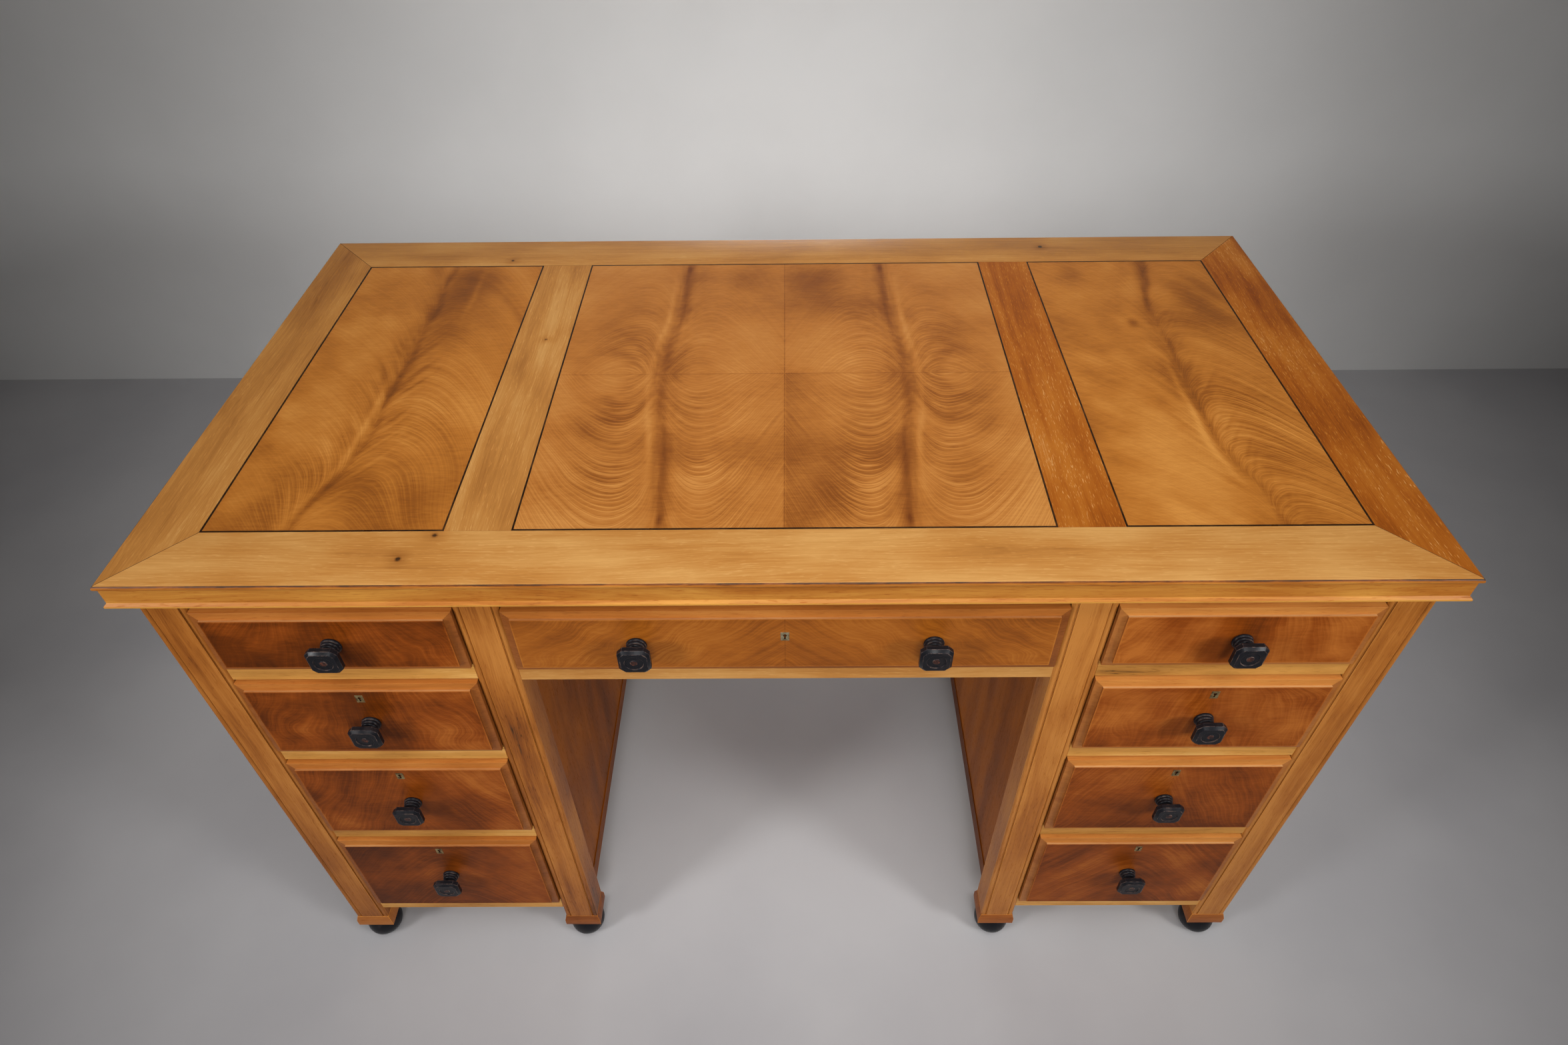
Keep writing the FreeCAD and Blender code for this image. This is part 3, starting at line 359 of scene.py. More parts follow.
@dataclass(frozen=True)
class CrotchVeneer(Finish):
    """Walnut cut through a fork, rubbed and waxed: fine ribs that hang like swags from a darker spine.

    The sheet's own attributes give the ribs' level, run and crispness, how dark or pale the wood is
    there, and how far the edge and the matched seams are.
    """

    name: str
    deep: str
    dark: str
    body: str
    pale: str
    line_mm: float = 6.6
    run_mm: float = 120.0
    ridge: float = 0.2
    line: float = 0.42
    band: float = 0.12
    mottle: float = 0.34
    fleck: float = 0.3
    seam: float = 0.18
    edge: float = 0.0
    roughness: float = 0.36
    gloss: float = 0.18

    def paint(self, tree: Tree) -> None:
        """Draws the veneer."""
        rib, near = (add_node(tree, "Attribute", {"attribute_name": name}, output="Vector")
                     for name in ("rib", "near"))
        shade = add_node(tree, "Attribute", {"attribute_name": "shade"}, output="Fac")
        held = add_node(tree, "TexCoord", output="Object")
        level, _, crisp = add_node(tree, "SeparateXYZ", links={0: rib}).node.outputs
        lines, bands, mottle, flecks = stretched_noises(tree, [
            (rib, (1 / (self.line_mm * MM), 1 / (self.run_mm * MM), 0.0), 2.0, 0.5),
            (rib, (40.0, 6.0, 0.0), 2.0, 0.5),
            (held, (14.0, 14.0, 14.0), 4.0, 0.5),
            # Short fibre ends, about 12 by 2 mm, that cross the ribs.
            (held, (85.0, 420.0, 420.0), 3.0, 0.6),
        ])
        # Thin pale lines at the ribs' own spacing, which the lines' noise pushes a little out of step.
        turns = weighted(tree, 0.0, [(lines, 0.0, 3 * math.tau),
                                     (level, 0.0, math.tau / (self.line_mm * MM))])
        wave = add_node(tree, "Math", {"operation": "SINE"}, {0: turns})
        ridges = add_node(tree, "MapRange", {"From Min": 0.1, "From Max": 1.0},
                          {"Value": wave, "To Max": crisp})
        crisp_lines = add_node(tree, "Math", {"operation": "MULTIPLY"},
                               {0: weighted(tree, 0.0, [(lines, 0.5, 1.0)]), 1: crisp})
        edge, upright, cross = add_node(tree, "SeparateXYZ", links={0: near}).node.outputs
        nearest = add_node(tree, "Math", {"operation": "MINIMUM"}, {0: upright, 1: cross})
        seams, edges = (add_node(tree, "MapRange", {"From Min": far * MM, "From Max": full * MM},
                                 {"Value": gap})
                        for gap, far, full in ((nearest, 0.9, 0.2), (edge, 1.6, 0.4)))
        value = weighted(tree, 0.5, [(ridges, 0.15, self.ridge), (crisp_lines, 0.0, self.line),
                                     (bands, 0.5, self.band), (mottle, 0.5, self.mottle), (shade, 0.0, 1.0),
                                     (flecks, 0.5, self.fleck),
                                     (seams, 0.0, -self.seam), (edges, 0.0, self.edge)])
        stops = [(0.08, self.deep), (0.3, self.dark), (0.5, self.body), (0.8, self.pale)]
        colour = add_node(tree, "ValToRGB", {"stops": stops}, {"Fac": value})
        rough = weighted(tree, self.roughness, [(mottle, 0.5, 0.22)])
        finish_surface(tree, colour, rough, lines, 0.12, 0.2, gloss=self.gloss)


@dataclass(frozen=True)
class Coat(Finish):
    """A coat whose tone, sheen and height all follow one cloudy pattern.

    Where the pattern is low it has the first colour, and where it is high the second. The more bare it
    is, the more of the second shows.
    """

    name: str
    low: str
    high: str
    patch_mm: float = 9.0
    detail: float = 4.0
    grit: float = 0.65
    stops: tuple[float, float] = (0.48, 0.66)
    bare: float = 0.0
    roughness: float = 0.36
    rough_swing: float = 0.5
    strength: float = 0.3
    depth_mm: float = 0.4
    metallic: float = 0.0
    one_sided: bool = False

    def paint(self, tree: Tree) -> None:
        """Draws the coat."""
        held = add_node(tree, "TexCoord", output="Object")
        scale = (1 / (self.patch_mm * MM),) * 3
        patches = stretched_noises(tree, [(held, scale, self.detail, self.grit)])[0]
        stops = list(zip((stop - self.bare for stop in self.stops), (self.low, self.high)))
        colour = add_node(tree, "ValToRGB", {"stops": stops}, {"Fac": patches})
        rough = weighted(tree, self.roughness, [(patches, 0.5, self.rough_swing)])
        gone = add_node(tree, "NewGeometry", output="Backfacing") if self.one_sided else None
        finish_surface(tree, colour, rough, patches, self.strength, self.depth_mm, self.metallic, gone=gone)


@dataclass(frozen=True)
class WornPaint(Coat):
    """A turned or carved wood that was ebonised or darkened: one coat, rubbed through in patches."""


@dataclass(frozen=True)
class AgedBrass(Coat):
    """Rolled brass that has dulled: brown in the hollows, still yellow where keys and hands have rubbed."""

    patch_mm: float = 4.0
    grit: float = 0.5
    stops: tuple[float, float] = (0.35, 0.62)
    roughness: float = 0.5
    rough_swing: float = -0.4
    strength: float = 0.2
    depth_mm: float = 0.1
    metallic: float = 0.75


@dataclass(frozen=True)
class StudioPaint(Coat):
    """Matt paint on the studio's floor and wall, with a faint cloudiness.

    One-sided paint isn't there when it is seen from behind, so the wall hides the desk from no side.
    """

    patch_mm: float = 1000 / 2.2
    detail: float = 5.0
    grit: float = 0.5
    stops: tuple[float, float] = (0.35, 0.6)
    roughness: float = 0.62
    rough_swing: float = 0.1
    strength: float = 0.05
    depth_mm: float = 0.5


@dataclass(frozen=True)
class Finishes:
    """Every finish of the desk and of the studio."""

    # The border's honey colour, with the few small knots of its front and back boards.
    honey: Finish = Timber("WaxedHoneyWalnut", "#965E28", "#B77C3B", "#CC9856", pore_dark=-0.16, band=0.5,
                           fibre=0.4, mottle=0.8, knots_mm=KNOTS_MM)
    # The redder boards at the right end, whose pores are filled pale.
    red_honey: Finish = Timber("WaxedRedWalnut", "#7E3C0C", "#9E5514", "#B26A21", filler="#C48B4F",
                               pore_dark=-0.42, pore_length_mm=8.0, pore_width_mm=1.1, mottle=1.2,
                               band=1.0, fibre=0.4)
    # The moulded edge of the top: oranger, with old dirt along its arris, and painted highlights, with a
    # little wear, along the lip's lower edge and along the bead at the bottom.
    fascia: Finish = Timber("HandledEdgeWalnut", "#6E3A10", "#A86422", "#CC903E", ring_mm=5.0, mottle=0.35,
                            band=0.7, lines_mm=((774.8, 2.6, -1.0), (768.8, 1.1, 0.5), (747.2, 1.4, 0.6)))
    # Yellower rails between the drawers.
    rail: Finish = Timber("PaleRailWood", "#A66F30", "#CC9146", "#E4B56C", ring_mm=7.0, mottle=0.9, band=0.9)
    # Posts with long soft bands.
    post: Finish = Timber("PostWalnut", "#804514", "#A46224", "#BC7A36", ring_mm=18.0, mottle=1.1, band=1.1,
                          fibre=0.45)
    post_arris: Finish = Timber("RubbedPostWalnut", "#9E5B1D", "#C47A2F", "#DB9545")
    # Foot blocks, darkened and reddened by years of floor wax.
    foot_block: Finish = Timber("WaxedFootBlock", "#6A3410", "#955320", "#B47032", ring_mm=7.0, mottle=0.6)
    # Painted shade that colours the narrow quirks nearly black.
    quirk: Finish = Timber("WaxedShutQuirk", "#5A3416", "#7A4E24", "#966438")
    # The drawer fronts' sloped margins; the top one is painted lighter and oranger, as painted light where it
    # faces up.
    margin: Finish = Timber("DrawerMargin", "#6C3814", "#8E5020", "#AA6A32", ring_mm=7.0)
    top_margin: Finish = Timber("BleachedDrawerMargin", "#8A4E1D", "#AE682B", "#CA8640", ring_mm=7.0)
    # Painted highlight on the upward step where the raised field meets its top margin.
    field_arris: Finish = Timber("RubbedFieldArris", "#8C5428", "#B07644", "#C89862", ring_mm=7.0)
    # Plain panels, a shade darker than the posts.
    panel: Finish = Timber("PanelWalnut", "#582907", "#793E0B", "#955215", ring_mm=20.0, mottle=0.9,
                           band=1.1, gloss=0.05)
    # The crotch in the middle of the top, and the oranger leaves at its ends.
    crotch: Finish = CrotchVeneer("CrotchVeneer", "#6F3915", "#8F531F", "#AE6C2D", "#C78844", line_mm=5.4,
                                  ridge=0.2, line=0.46)
    side_crotch: Finish = CrotchVeneer("SideCrotchVeneer", "#6E3C17", "#93551C", "#B26E29", "#CE8C41",
                                       line_mm=5.0, line=0.5)
    # The redder, darker crotch of the pedestal drawers.
    drawer_veneer: Finish = CrotchVeneer("DrawerVeneer", "#441F08", "#642E09", "#864110", "#AE6426",
                                         line_mm=4.0, ridge=0.06, line=0.36, band=0.22, mottle=0.75,
                                         seam=0.06, edge=0.2, fleck=0.25, gloss=0.07)
    middle_veneer: Finish = CrotchVeneer("MiddleDrawerVeneer", "#64330B", "#804411", "#985517", "#B26D28",
                                         line_mm=4.6, ridge=0.08, line=0.5, band=0.3, mottle=0.5, seam=0.1,
                                         edge=0.2)
    # Black stringing let in round the panels.
    stringing: Finish = WornPaint("EbonyStringing", "#26160C", "#4A2E18", patch_mm=30.0)
    # Blue-black stain on the knobs and feet, rubbed to grey-brown on their edges.
    ebonised: Finish = WornPaint("EbonisedTurning", "#17171B", "#2C2627", patch_mm=14.0, bare=-0.05)
    ebonised_edge: Finish = WornPaint("RubbedEbonisedEdge", "#242126", "#6E5A50", patch_mm=5.0, bare=0.02)
    # The knob's middle, worn to the red wood under the stain.
    button: Finish = WornPaint("WornKnobButton", "#241A1A", "#62382A", patch_mm=3.0, bare=0.02)
    # The middle drawer's plate has been rubbed clean more often.
    clean_brass: Finish = AgedBrass("RubbedBrass", "#807254", "#C0B290")
    brass: Finish = AgedBrass("TarnishedBrass", "#5C4A30", "#AC9668")
    # Painted shade: the inside of a keyhole and the case's front seen through it, coloured nearly black.
    keyhole: Finish = WornPaint("OiledKeyhole", "#0C0908", "#241812", patch_mm=2.0, roughness=0.8)
    # Bare wood inside the drawers, which has only yellowed.
    lining: Finish = Timber("DrawerLining", "#A47E50", "#C09C6C", "#D6BA90", roughness=0.6,
                            coordinates=Coordinates.PIECE, turned_deg=90.0)
    core: Finish = Timber("CoreBoard", "#8E6A42", "#AE8656", "#C6A074", roughness=0.65,
                          coordinates=Coordinates.PIECE)
    # Matt grey on the floor and nearly white on the wall.
    floor: Finish = StudioPaint("FloorPaint", "#B2B0B2", "#BCBABB")
    wall: Finish = StudioPaint("WallPaint", "#EDEDEB", "#F3F3F1", one_sided=True)


FINISHES = Finishes()


class SmoothNoise:
    """Smooth random hills over a plane, the same on every run."""

    def __init__(self, seed: int, cells: int = 64) -> None:
        """Fills a square of random heights.

        Args:
            seed: The random seed.
            cells: Heights along each side, after which the hills repeat.
        """
        self.heights = np.random.default_rng(seed).uniform(-1.0, 1.0, (cells, cells))
        self.cells = cells

    def at(self, across: Array, along: Array, width: float) -> Array:
        """Heights from -1 to 1 at points: the four nearest heights, blended by 3t^2 - 2t^3.

        Args:
            across: The points' first coordinate.
            along: The points' second coordinate.
            width: The spacing of the random heights.

        Returns:
            One height for each point.
        """
        u, v = across / width, along / width
        i, j = np.floor(u).astype(int), np.floor(v).astype(int)
        a, b = u - i, v - j
        a, b = a * a * (3 - 2 * a), b * b * (3 - 2 * b)
        near, far = i % self.cells, (i + 1) % self.cells
        low, high = j % self.cells, (j + 1) % self.cells
        grid = self.heights
        front = grid[near, low] * (1 - a) + grid[far, low] * a
        back = grid[near, high] * (1 - a) + grid[far, high] * a
        return front * (1 - b) + back * b


def hill(distance: Array, width: float) -> Array:
    """A bell that is 1 at no distance: exp of minus the square of distance over width."""
    return np.exp(-((distance / width) ** 2))


def swag(share: Array) -> Array:
    """A hanging curve from 0 to 1, lowest at a third: 2.6 times the root of t times 1 - t."""
    held = np.clip(share, 0.0, 1.0)
    return 2.6 * np.sqrt(held) * (1 - held)


def swag_slope(share: Array) -> Array:
    """The slope of swag: 1.3 times 1 - 3t over the root of t."""
    held = np.clip(share, 0.01, 1.0)
    return 1.3 * (1 - 3 * held) / np.sqrt(held)


def place_mesh(name: str, points: Array, faces: Array, finish: Finish) -> bpy.types.Object:
    """Puts worked-out points and faces into a new object at the origin.

    Args:
        name: The object's name.
        points: Vertex positions in metres.
        faces: Vertex numbers of each face.
        finish: The object's finish.

    Returns:
        The new object.
    """
    mesh = bpy.data.meshes.new(name)
    mesh.from_pydata(points.tolist(), [], faces.tolist())
    mesh.validate()
    mesh.materials.append(finish.made)
    return link_new(name, mesh)


def letter_sum(name: str) -> int:
    """A number that follows from a name: the sum of its letters' codes."""
    return sum(map(ord, name))


def in_mm(corner: Vector) -> Triple:
    """A place in metres as three lengths in millimetres."""
    return tuple(value / MM for value in corner)


def link_new(name: str, data: bpy.types.ID) -> bpy.types.Object:
    """Links a new object with this data into the scene."""
    item = bpy.data.objects.new(name, data)
    bpy.context.scene.collection.objects.link(item)
    return item


def read_values(rows: Any, key: str, kind: type = np.int32, width: int = 1) -> Array:
    """Reads one property of all of a mesh's vertices, edges, corners or faces.

    Args:
        rows: The mesh's collection.
        key: The property's name.
        kind: The type of its numbers.
        width: How many numbers each element has.

    Returns:
        One number, or one row of numbers, for each element.
    """
    values = np.empty(len(rows) * width, kind)
    rows.foreach_get(key, values)
    return values.reshape(-1, width) if width > 1 else values


def set_values(mesh: Mesh, name: str, kind: str, domain: str, values: Array) -> None:
    """Writes one attribute of a mesh.

    Args:
        mesh: The mesh.
        name: The attribute's name.
        kind: FLOAT or FLOAT_VECTOR.
        domain: POINT, CORNER or FACE.
        values: One row for each element.
    """
    attribute = mesh.attributes.new(name, kind, domain)
    key = "vector" if kind == "FLOAT_VECTOR" else "value"
    attribute.data.foreach_set(key, np.ascontiguousarray(values, np.float32).ravel())


def sheet_faces(rows: int, columns: int) -> Array:
    """The quads of a grid of points, row by row, wound anticlockwise seen along -Z with rows along +Y."""
    corner = (np.arange(rows - 1)[:, None] * columns + np.arange(columns - 1)[None, :]).ravel()
    return np.stack([corner, corner + 1, corner + columns + 1, corner + columns], 1)


@dataclass
class Boards:
    """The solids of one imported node, each dressed as a board with a grain and a tone of its own.

    A copy of the node's mesh is merged, its flat triangles become single faces, and the arrises are
    rounded. Boards that touch are kept apart by part, which numbers the board round a point. The
    board's longest side is its grain unless grain says otherwise. Every face has the first finish unless
    pick gives it the number of another, and rounded arrises have the one that edge_material numbers.
    """

    node: str
    finishes: Sequence[Finish]
    edge_mm: float = 0.5
    grain: Grain = Grain.LONGEST
    seed: int = 1
    body: str = "carcass"
    slot: str = "honey_walnut"
    tone_spread: float = 0.5
    edge_material: int = -1
    pick: Callable[[FaceTable], Array] | None = None
    tone: Callable[[Array], Array] | None = None
    part: Callable[[Vector], int] | None = None

    def build(self, frame: Frame) -> None:
        """Builds the dressed piece, which replaces the node.
        """
        mesh = self._merged(frame["nodes"][self.node].data)
        item = link_new(f"{self.node}_dressed", mesh)
        mesh.materials.clear()
        for finish in self.finishes:
            mesh.materials.append(finish.made)
        table = FaceTable.read(mesh)
        if self.pick is not None:
            mesh.polygons.foreach_set("material_index", self.pick(table).astype(np.int32))
        self._write_grain(mesh, table)
        if self.edge_mm > 0:
            bevel = item.modifiers.new("arris", "BEVEL")
            bevel.width = self.edge_mm * MM
            bevel.segments = 2
            bevel.limit_method = "ANGLE"
            bevel.angle_limit = math.radians(SMOOTH_DEG)
            bevel.harden_normals = True
            bevel.material = self.edge_material
        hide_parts(self.node)
        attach(item, self.body)
        log.info("%s: %d boards, %d faces", item.name, table.count, len(mesh.polygons))

    def _merged(self, source: Mesh) -> Mesh:
        """A copy of a node's mesh with its doubles merged and its flat areas made single faces.

        Args:
            source: The node's mesh of loose triangles.

        Returns:
            The merged copy.
        """
        work = bmesh.new()
        work.from_mesh(source)
        # Each group is a dict, which keeps the vertices' order, so that every run welds them alike.
        groups: dict[int, dict[bmesh.types.BMVert, None]] = {}
        for face in work.faces:
            inside = face.calc_center_median() - face.normal * MM
            groups.setdefault(self.part(inside) if self.part else 0, {}).update(dict.fromkeys(face.verts))
        for group in groups.values():
            bmesh.ops.remove_doubles(work, verts=list(group), dist=WELD_MM * MM)
        bmesh.ops.dissolve_limit(work, angle_limit=math.radians(FLAT_DEG), verts=work.verts,
                                 edges=work.edges)
        for edge in work.edges:
            edge.smooth = len(edge.link_faces) == 2 and edge.calc_face_angle(0.0) < math.radians(SMOOTH_DEG)
        for face in work.faces:
            face.smooth = True
        mesh = bpy.data.meshes.new(f"{self.node}_dressed")
        work.to_mesh(mesh)
        work.free()
        return mesh

    def _write_grain(self, mesh: Mesh, table: FaceTable) -> None:
        """Writes each corner's place in its board, grain first, and the board's tone.

        Args:
            mesh: The dressed mesh.
            table: Its faces.
        """
        random = np.random.default_rng(self.seed)
        shifts = random.uniform(-3.0, 3.0, (table.count, 3))
        tones = random.uniform(-self.tone_spread, self.tone_spread, table.count)
        if self.tone is not None:
            tones = tones + self.tone((table.low + table.high) / 2)
        if self.grain is Grain.LONGEST:
            axis = np.argmax(table.high - table.low, axis=1)
        else:
            axis = np.full(table.count, self.grain.value)
        order = np.array([[0, 1, 2], [1, 0, 2], [2, 0, 1]])[axis]
        board = table.board[table.face_of_corner]
        placed = np.take_along_axis(table.corner_places, order[board], axis=1) + shifts[board]
        set_values(mesh, "grain", "FLOAT_VECTOR", "CORNER", placed)
        set_values(mesh, "tone", "FLOAT", "CORNER", tones[board])


@dataclass
class FaceTable:
    """The faces of a mesh as arrays, with the separate solids that they belong to."""

    centre: Array
    normal: Array
    board: Array
    low: Array
    high: Array
    count: int
    face_of_corner: Array
    corner_places: Array

    @classmethod
    def read(cls, mesh: Mesh) -> FaceTable:
        """Reads a mesh.

        Each solid is found by giving every vertex its own number and letting each edge pass the lower
        number to both its ends until nothing changes.

        Args:
            mesh: The mesh.

        Returns:
            The table.
        """
        places = read_values(mesh.vertices, "co", np.float32, 3).astype(float)
        first, second = read_values(mesh.edges, "vertices", width=2).T
        label = np.arange(len(places))
        while True:
            lower = np.minimum(label[first], label[second])
            passed = label.copy()
            np.minimum.at(passed, first, lower)
            np.minimum.at(passed, second, lower)
            if np.array_equal(passed, label):
                break
            label = passed
        names, board_of_vertex = np.unique(label, return_inverse=True)
        low = np.full((len(names), 3), np.inf)
        high = np.full((len(names), 3), -np.inf)
        np.minimum.at(low, board_of_vertex, places)
        np.maximum.at(high, board_of_vertex, places)
        vertices = read_values(mesh.loops, "vertex_index")
        totals = read_values(mesh.polygons, "loop_total")
        starts = read_values(mesh.polygons, "loop_start")
        centre, normal = (read_values(mesh.polygons, key, np.float32, 3) for key in ("center", "normal"))
        return cls(centre, normal, board_of_vertex[vertices[starts]], low, high, len(names),
                   np.repeat(np.arange(len(totals)), totals), places[vertices])


@dataclass
class Figured:
    """The figure of a veneer at its points: the ribs' level and run in millimetres, crispness and shade."""

    level: Array
    run: Array
    crisp: Array
    shade: Array


@dataclass
class VeneerSheet:
    """A thin sheet over a rectangle, on a fine grid that carries the figure of the wood."""

    name: str
    low_mm: tuple[float, float]
    high_mm: tuple[float, float]
    step_mm: float = 2.5
    rim_mm: float = 2.0
    seams_mm: tuple[float | None, float | None] = (None, None)
    hole_mm: Rectangle | None = None

    def lines(self) -> tuple[Array, Array]:
        """The grid's lines both ways, in millimetres, with lines on the seams and round the hole."""
        spans = []
        for axis in (0, 1):
            low, high = self.low_mm[axis], self.high_mm[axis]
            stops = {low, low + self.rim_mm, high - self.rim_mm, high}
            if self.seams_mm[axis] is not None:
                stops.add(self.seams_mm[axis])
            if self.hole_mm is not None:
                stops.update((self.hole_mm[axis], self.hole_mm[axis + 2]))
            ordered = sorted(stops)
            parts = []
            for start, end in zip(ordered, ordered[1:]):
                parts.append(np.linspace(start, end, max(2, math.ceil((end - start) / self.step_mm) + 1)))
            spans.append(np.unique(np.concatenate(parts).round(5)))
        return spans[0], spans[1]

    def nearness(self, a: Array, b: Array) -> Array:
        """How far the edge, the upright seam and the cross seam are, in metres, as rows of three."""
        places, gaps = (a, b), []
        for axis in (0, 1):
            gaps += [places[axis] - self.low_mm[axis], self.high_mm[axis] - places[axis]]
        edge = np.minimum(np.min(gaps, axis=0), self.rim_mm * 2)
        away = [np.full(len(a), NO_SEAM_MM) if seam is None else np.abs(place - seam)
                for place, seam in zip(places, self.seams_mm)]
        return np.stack([edge, *away], 1) * MM

    def build(self, surface: Callable[[Array, Array], Array], figure: Callable[[Array, Array], Figured],
              finish: Finish, thickness_mm: float) -> bpy.types.Object:
        """Builds the sheet.

        Args:
            surface: Turns the two parameters into places in millimetres, as an array of rows of three.
            figure: Turns them into the figure there.
            finish: The veneer.
            thickness_mm: How thick it is, inwards from the surface.

        Returns:
            The sheet.
        """
        first, second = self.lines()
        a, b = np.meshgrid(first, second)
        a, b = a.ravel(), b.ravel()
        faces = sheet_faces(len(second), len(first))
        if self.hole_mm is not None:
            middle_a, middle_b = a[faces].mean(1), b[faces].mean(1)
            inside = (middle_a > self.hole_mm[0]) & (middle_a < self.hole_mm[2])
            inside &= (middle_b > self.hole_mm[1]) & (middle_b < self.hole_mm[3])
            faces = faces[~inside]
        item = place_mesh(self.name, surface(a, b) * MM, faces, finish)
        found = figure(a, b)
        apart = SHEETS_APART_MM * (letter_sum(self.name) % 13)
        ribs = np.stack([(found.level + apart) * MM, found.run * MM, found.crisp], 1)
        set_values(item.data, "rib", "FLOAT_VECTOR", "POINT", ribs)
        set_values(item.data, "near", "FLOAT_VECTOR", "POINT", self.nearness(a, b))
        set_values(item.data, "shade", "FLOAT", "POINT", found.shade)
        solid = item.modifiers.new("thickness", "SOLIDIFY")
        solid.thickness = thickness_mm * MM
        solid.offset = -1.0
        log.info("%s", item.name)
        return item


@dataclass
class TopPanel:
    """One veneer of the top, laid level with the upper of two corners in metres."""

    name: str
    node: str
    finish: Finish
    low: Vector
    high: Vector
    thickness_mm: float = 1.6
    seams_mm: tuple[float | None, float | None] = (None, None)

    def figure(self, x: Array, y: Array) -> Figured:
        """The figure at x and y in millimetres."""
        raise NotImplementedError

    def build(self) -> None:
        """Lays the veneer, which rides on the carcass and replaces its solids."""
        (left, front, _), (right, back, level) = in_mm(self.low), in_mm(self.high)
        sheet = VeneerSheet(self.name, (left, front), (right, back), seams_mm=self.seams_mm)
        item = sheet.build(lambda x, y: np.stack([x, y, np.full(len(x), level)], 1), self.figure,
                           self.finish, self.thickness_mm)
        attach(item, "carcass")
        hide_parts(self.node)


@dataclass
class MiddlePanel(TopPanel):
    """Four leaves matched about both middle lines, with a spine at a quarter and at three quarters."""

    spine_mm: float = 133.0
    spine_bow_mm: float = 14.0
    hills: SmoothNoise = field(default_factory=lambda: SmoothNoise(11))

    def figure(self, x: Array, y: Array) -> Figured:
        """The figure of the four leaves.

        A rib is level + depth * swag(share), where share runs from the spine to the middle line or to the
        outer edge, so ribs hang from cusps at the spine and at the middle line.

        Args:
            x: Millimetres from the middle.
            y: Millimetres towards the back.

        Returns:
            The figure.
        """
        half_width, half_depth = self.high.x / MM, (self.high.y - self.low.y) / 2 / MM
        out, away = np.abs(x), y - (self.low.y + self.high.y) / 2 / MM
        far, upper = np.abs(away), away > 0
        wander = self.hills.at(x, y, 38.0) * 2.4 + self.hills.at(x + 900, y, 15.0) * 0.8
        spine = self.spine_mm + self.spine_bow_mm * hill(far, 110) + wander * 0.5
        spine = spine + np.where(upper, 1, -5) * hill(far - 240, 80)
        inner = out < spine
        share = np.where(inner, (spine - out) / spine, (out - spine) / (half_width + 8 - spine))
        depth = np.where(inner, 96 + 0.16 * far, 84 + 0.1 * far) + np.where(upper, 12.0, 0.0)
        level = far - depth * swag(share) + wander
        run = out + 0.4 * far
        beside = out - spine
        streaks = self.hills.at(beside * 9, far, 44.0)
        threads = self.hills.at(beside * 16, far, 62.0)
        dark = (0.17 + 0.11 * threads) * hill(beside + 5, 9 + 2 * streaks) * (0.5 + 0.5 * hill(far - 205, 90))
        dark += 0.1 * hill(beside + 14, 20) * (0.6 + 0.4 * streaks)
        dark += 0.3 * hill(beside + 6, 3) * hill(far - half_depth + 12, 9)
        pale = 0.15 * hill(beside - 9, 5) * (0.35 + 0.65 * hill(far - 90, 74)) * (1 + 0.8 * threads)
        barbs = self.hills.at(far - 1.5 * np.abs(beside), beside * 0.3, 7.0)
        pale = pale + 0.11 * barbs * hill(np.abs(beside) - 14, 16) * hill(far - 20, 150)
        feather = 1 + 0.7 * self.hills.at(level, run * 0.3, 8.0)
        moustache = 0.2 * hill(beside - 46, 38) * hill(far - 34 - 0.8 * beside, 30) * feather
        moustache = moustache * np.where(upper, 0.5, 1.0) * np.where(x < 0, 1.2, 0.8)
        ring = 0.14 * hill(np.hypot(out - 212, far * 0.72) - 36, 9) * hill(beside - 58, 34)
        crown = 0.17 * hill(out - 45, 62) * hill(far - 215, 62)
        crown = crown * np.where(upper, np.where(x > 0, 1.3, 0.6), 0.2)
        glow = 0.12 * hill(out - 40, 70) * hill(far - 62, 42) * np.where(upper, 1.0, 0.3)
        lower_right = (0.1 * hill(x - 62, 46) * hill(far - 205, 70) + 0.12 * hill(x, 26) * (x > 0)) * ~upper
        lower_right = lower_right - 0.08 * hill(x, 40) * hill(far - 240, 40) * (x < 0) * ~upper
        clouds = 0.08 * self.hills.at(out, far + 500, 46.0) + 0.05 * self.hills.at(x, y + 300, 90.0)
        edge = 0.08 * hill(out - half_width, 40) + 0.05 * hill(far - half_depth, 30)
        shade = pale + glow + edge + clouds - dark - moustache - ring - crown - lower_right
        nearer = np.clip((half_depth - away) / half_depth / 2, 0.0, 1.0)
        # Ribs crowd together where they run steep, and are drawn fainter there.
        steep = depth * swag_slope(share) / np.where(inner, spine, half_width + 8 - spine)
        crisp = 0.16 + 0.95 * nearer ** 1.4 + 0.3 * hill(beside, 60) * hill(far, 130)
        crisp = crisp / (1 + 0.25 * steep ** 2)
        return Figured(level, run, crisp * (1 + 0.6 * self.hills.at(x + 300, y, 42.0)), shade)


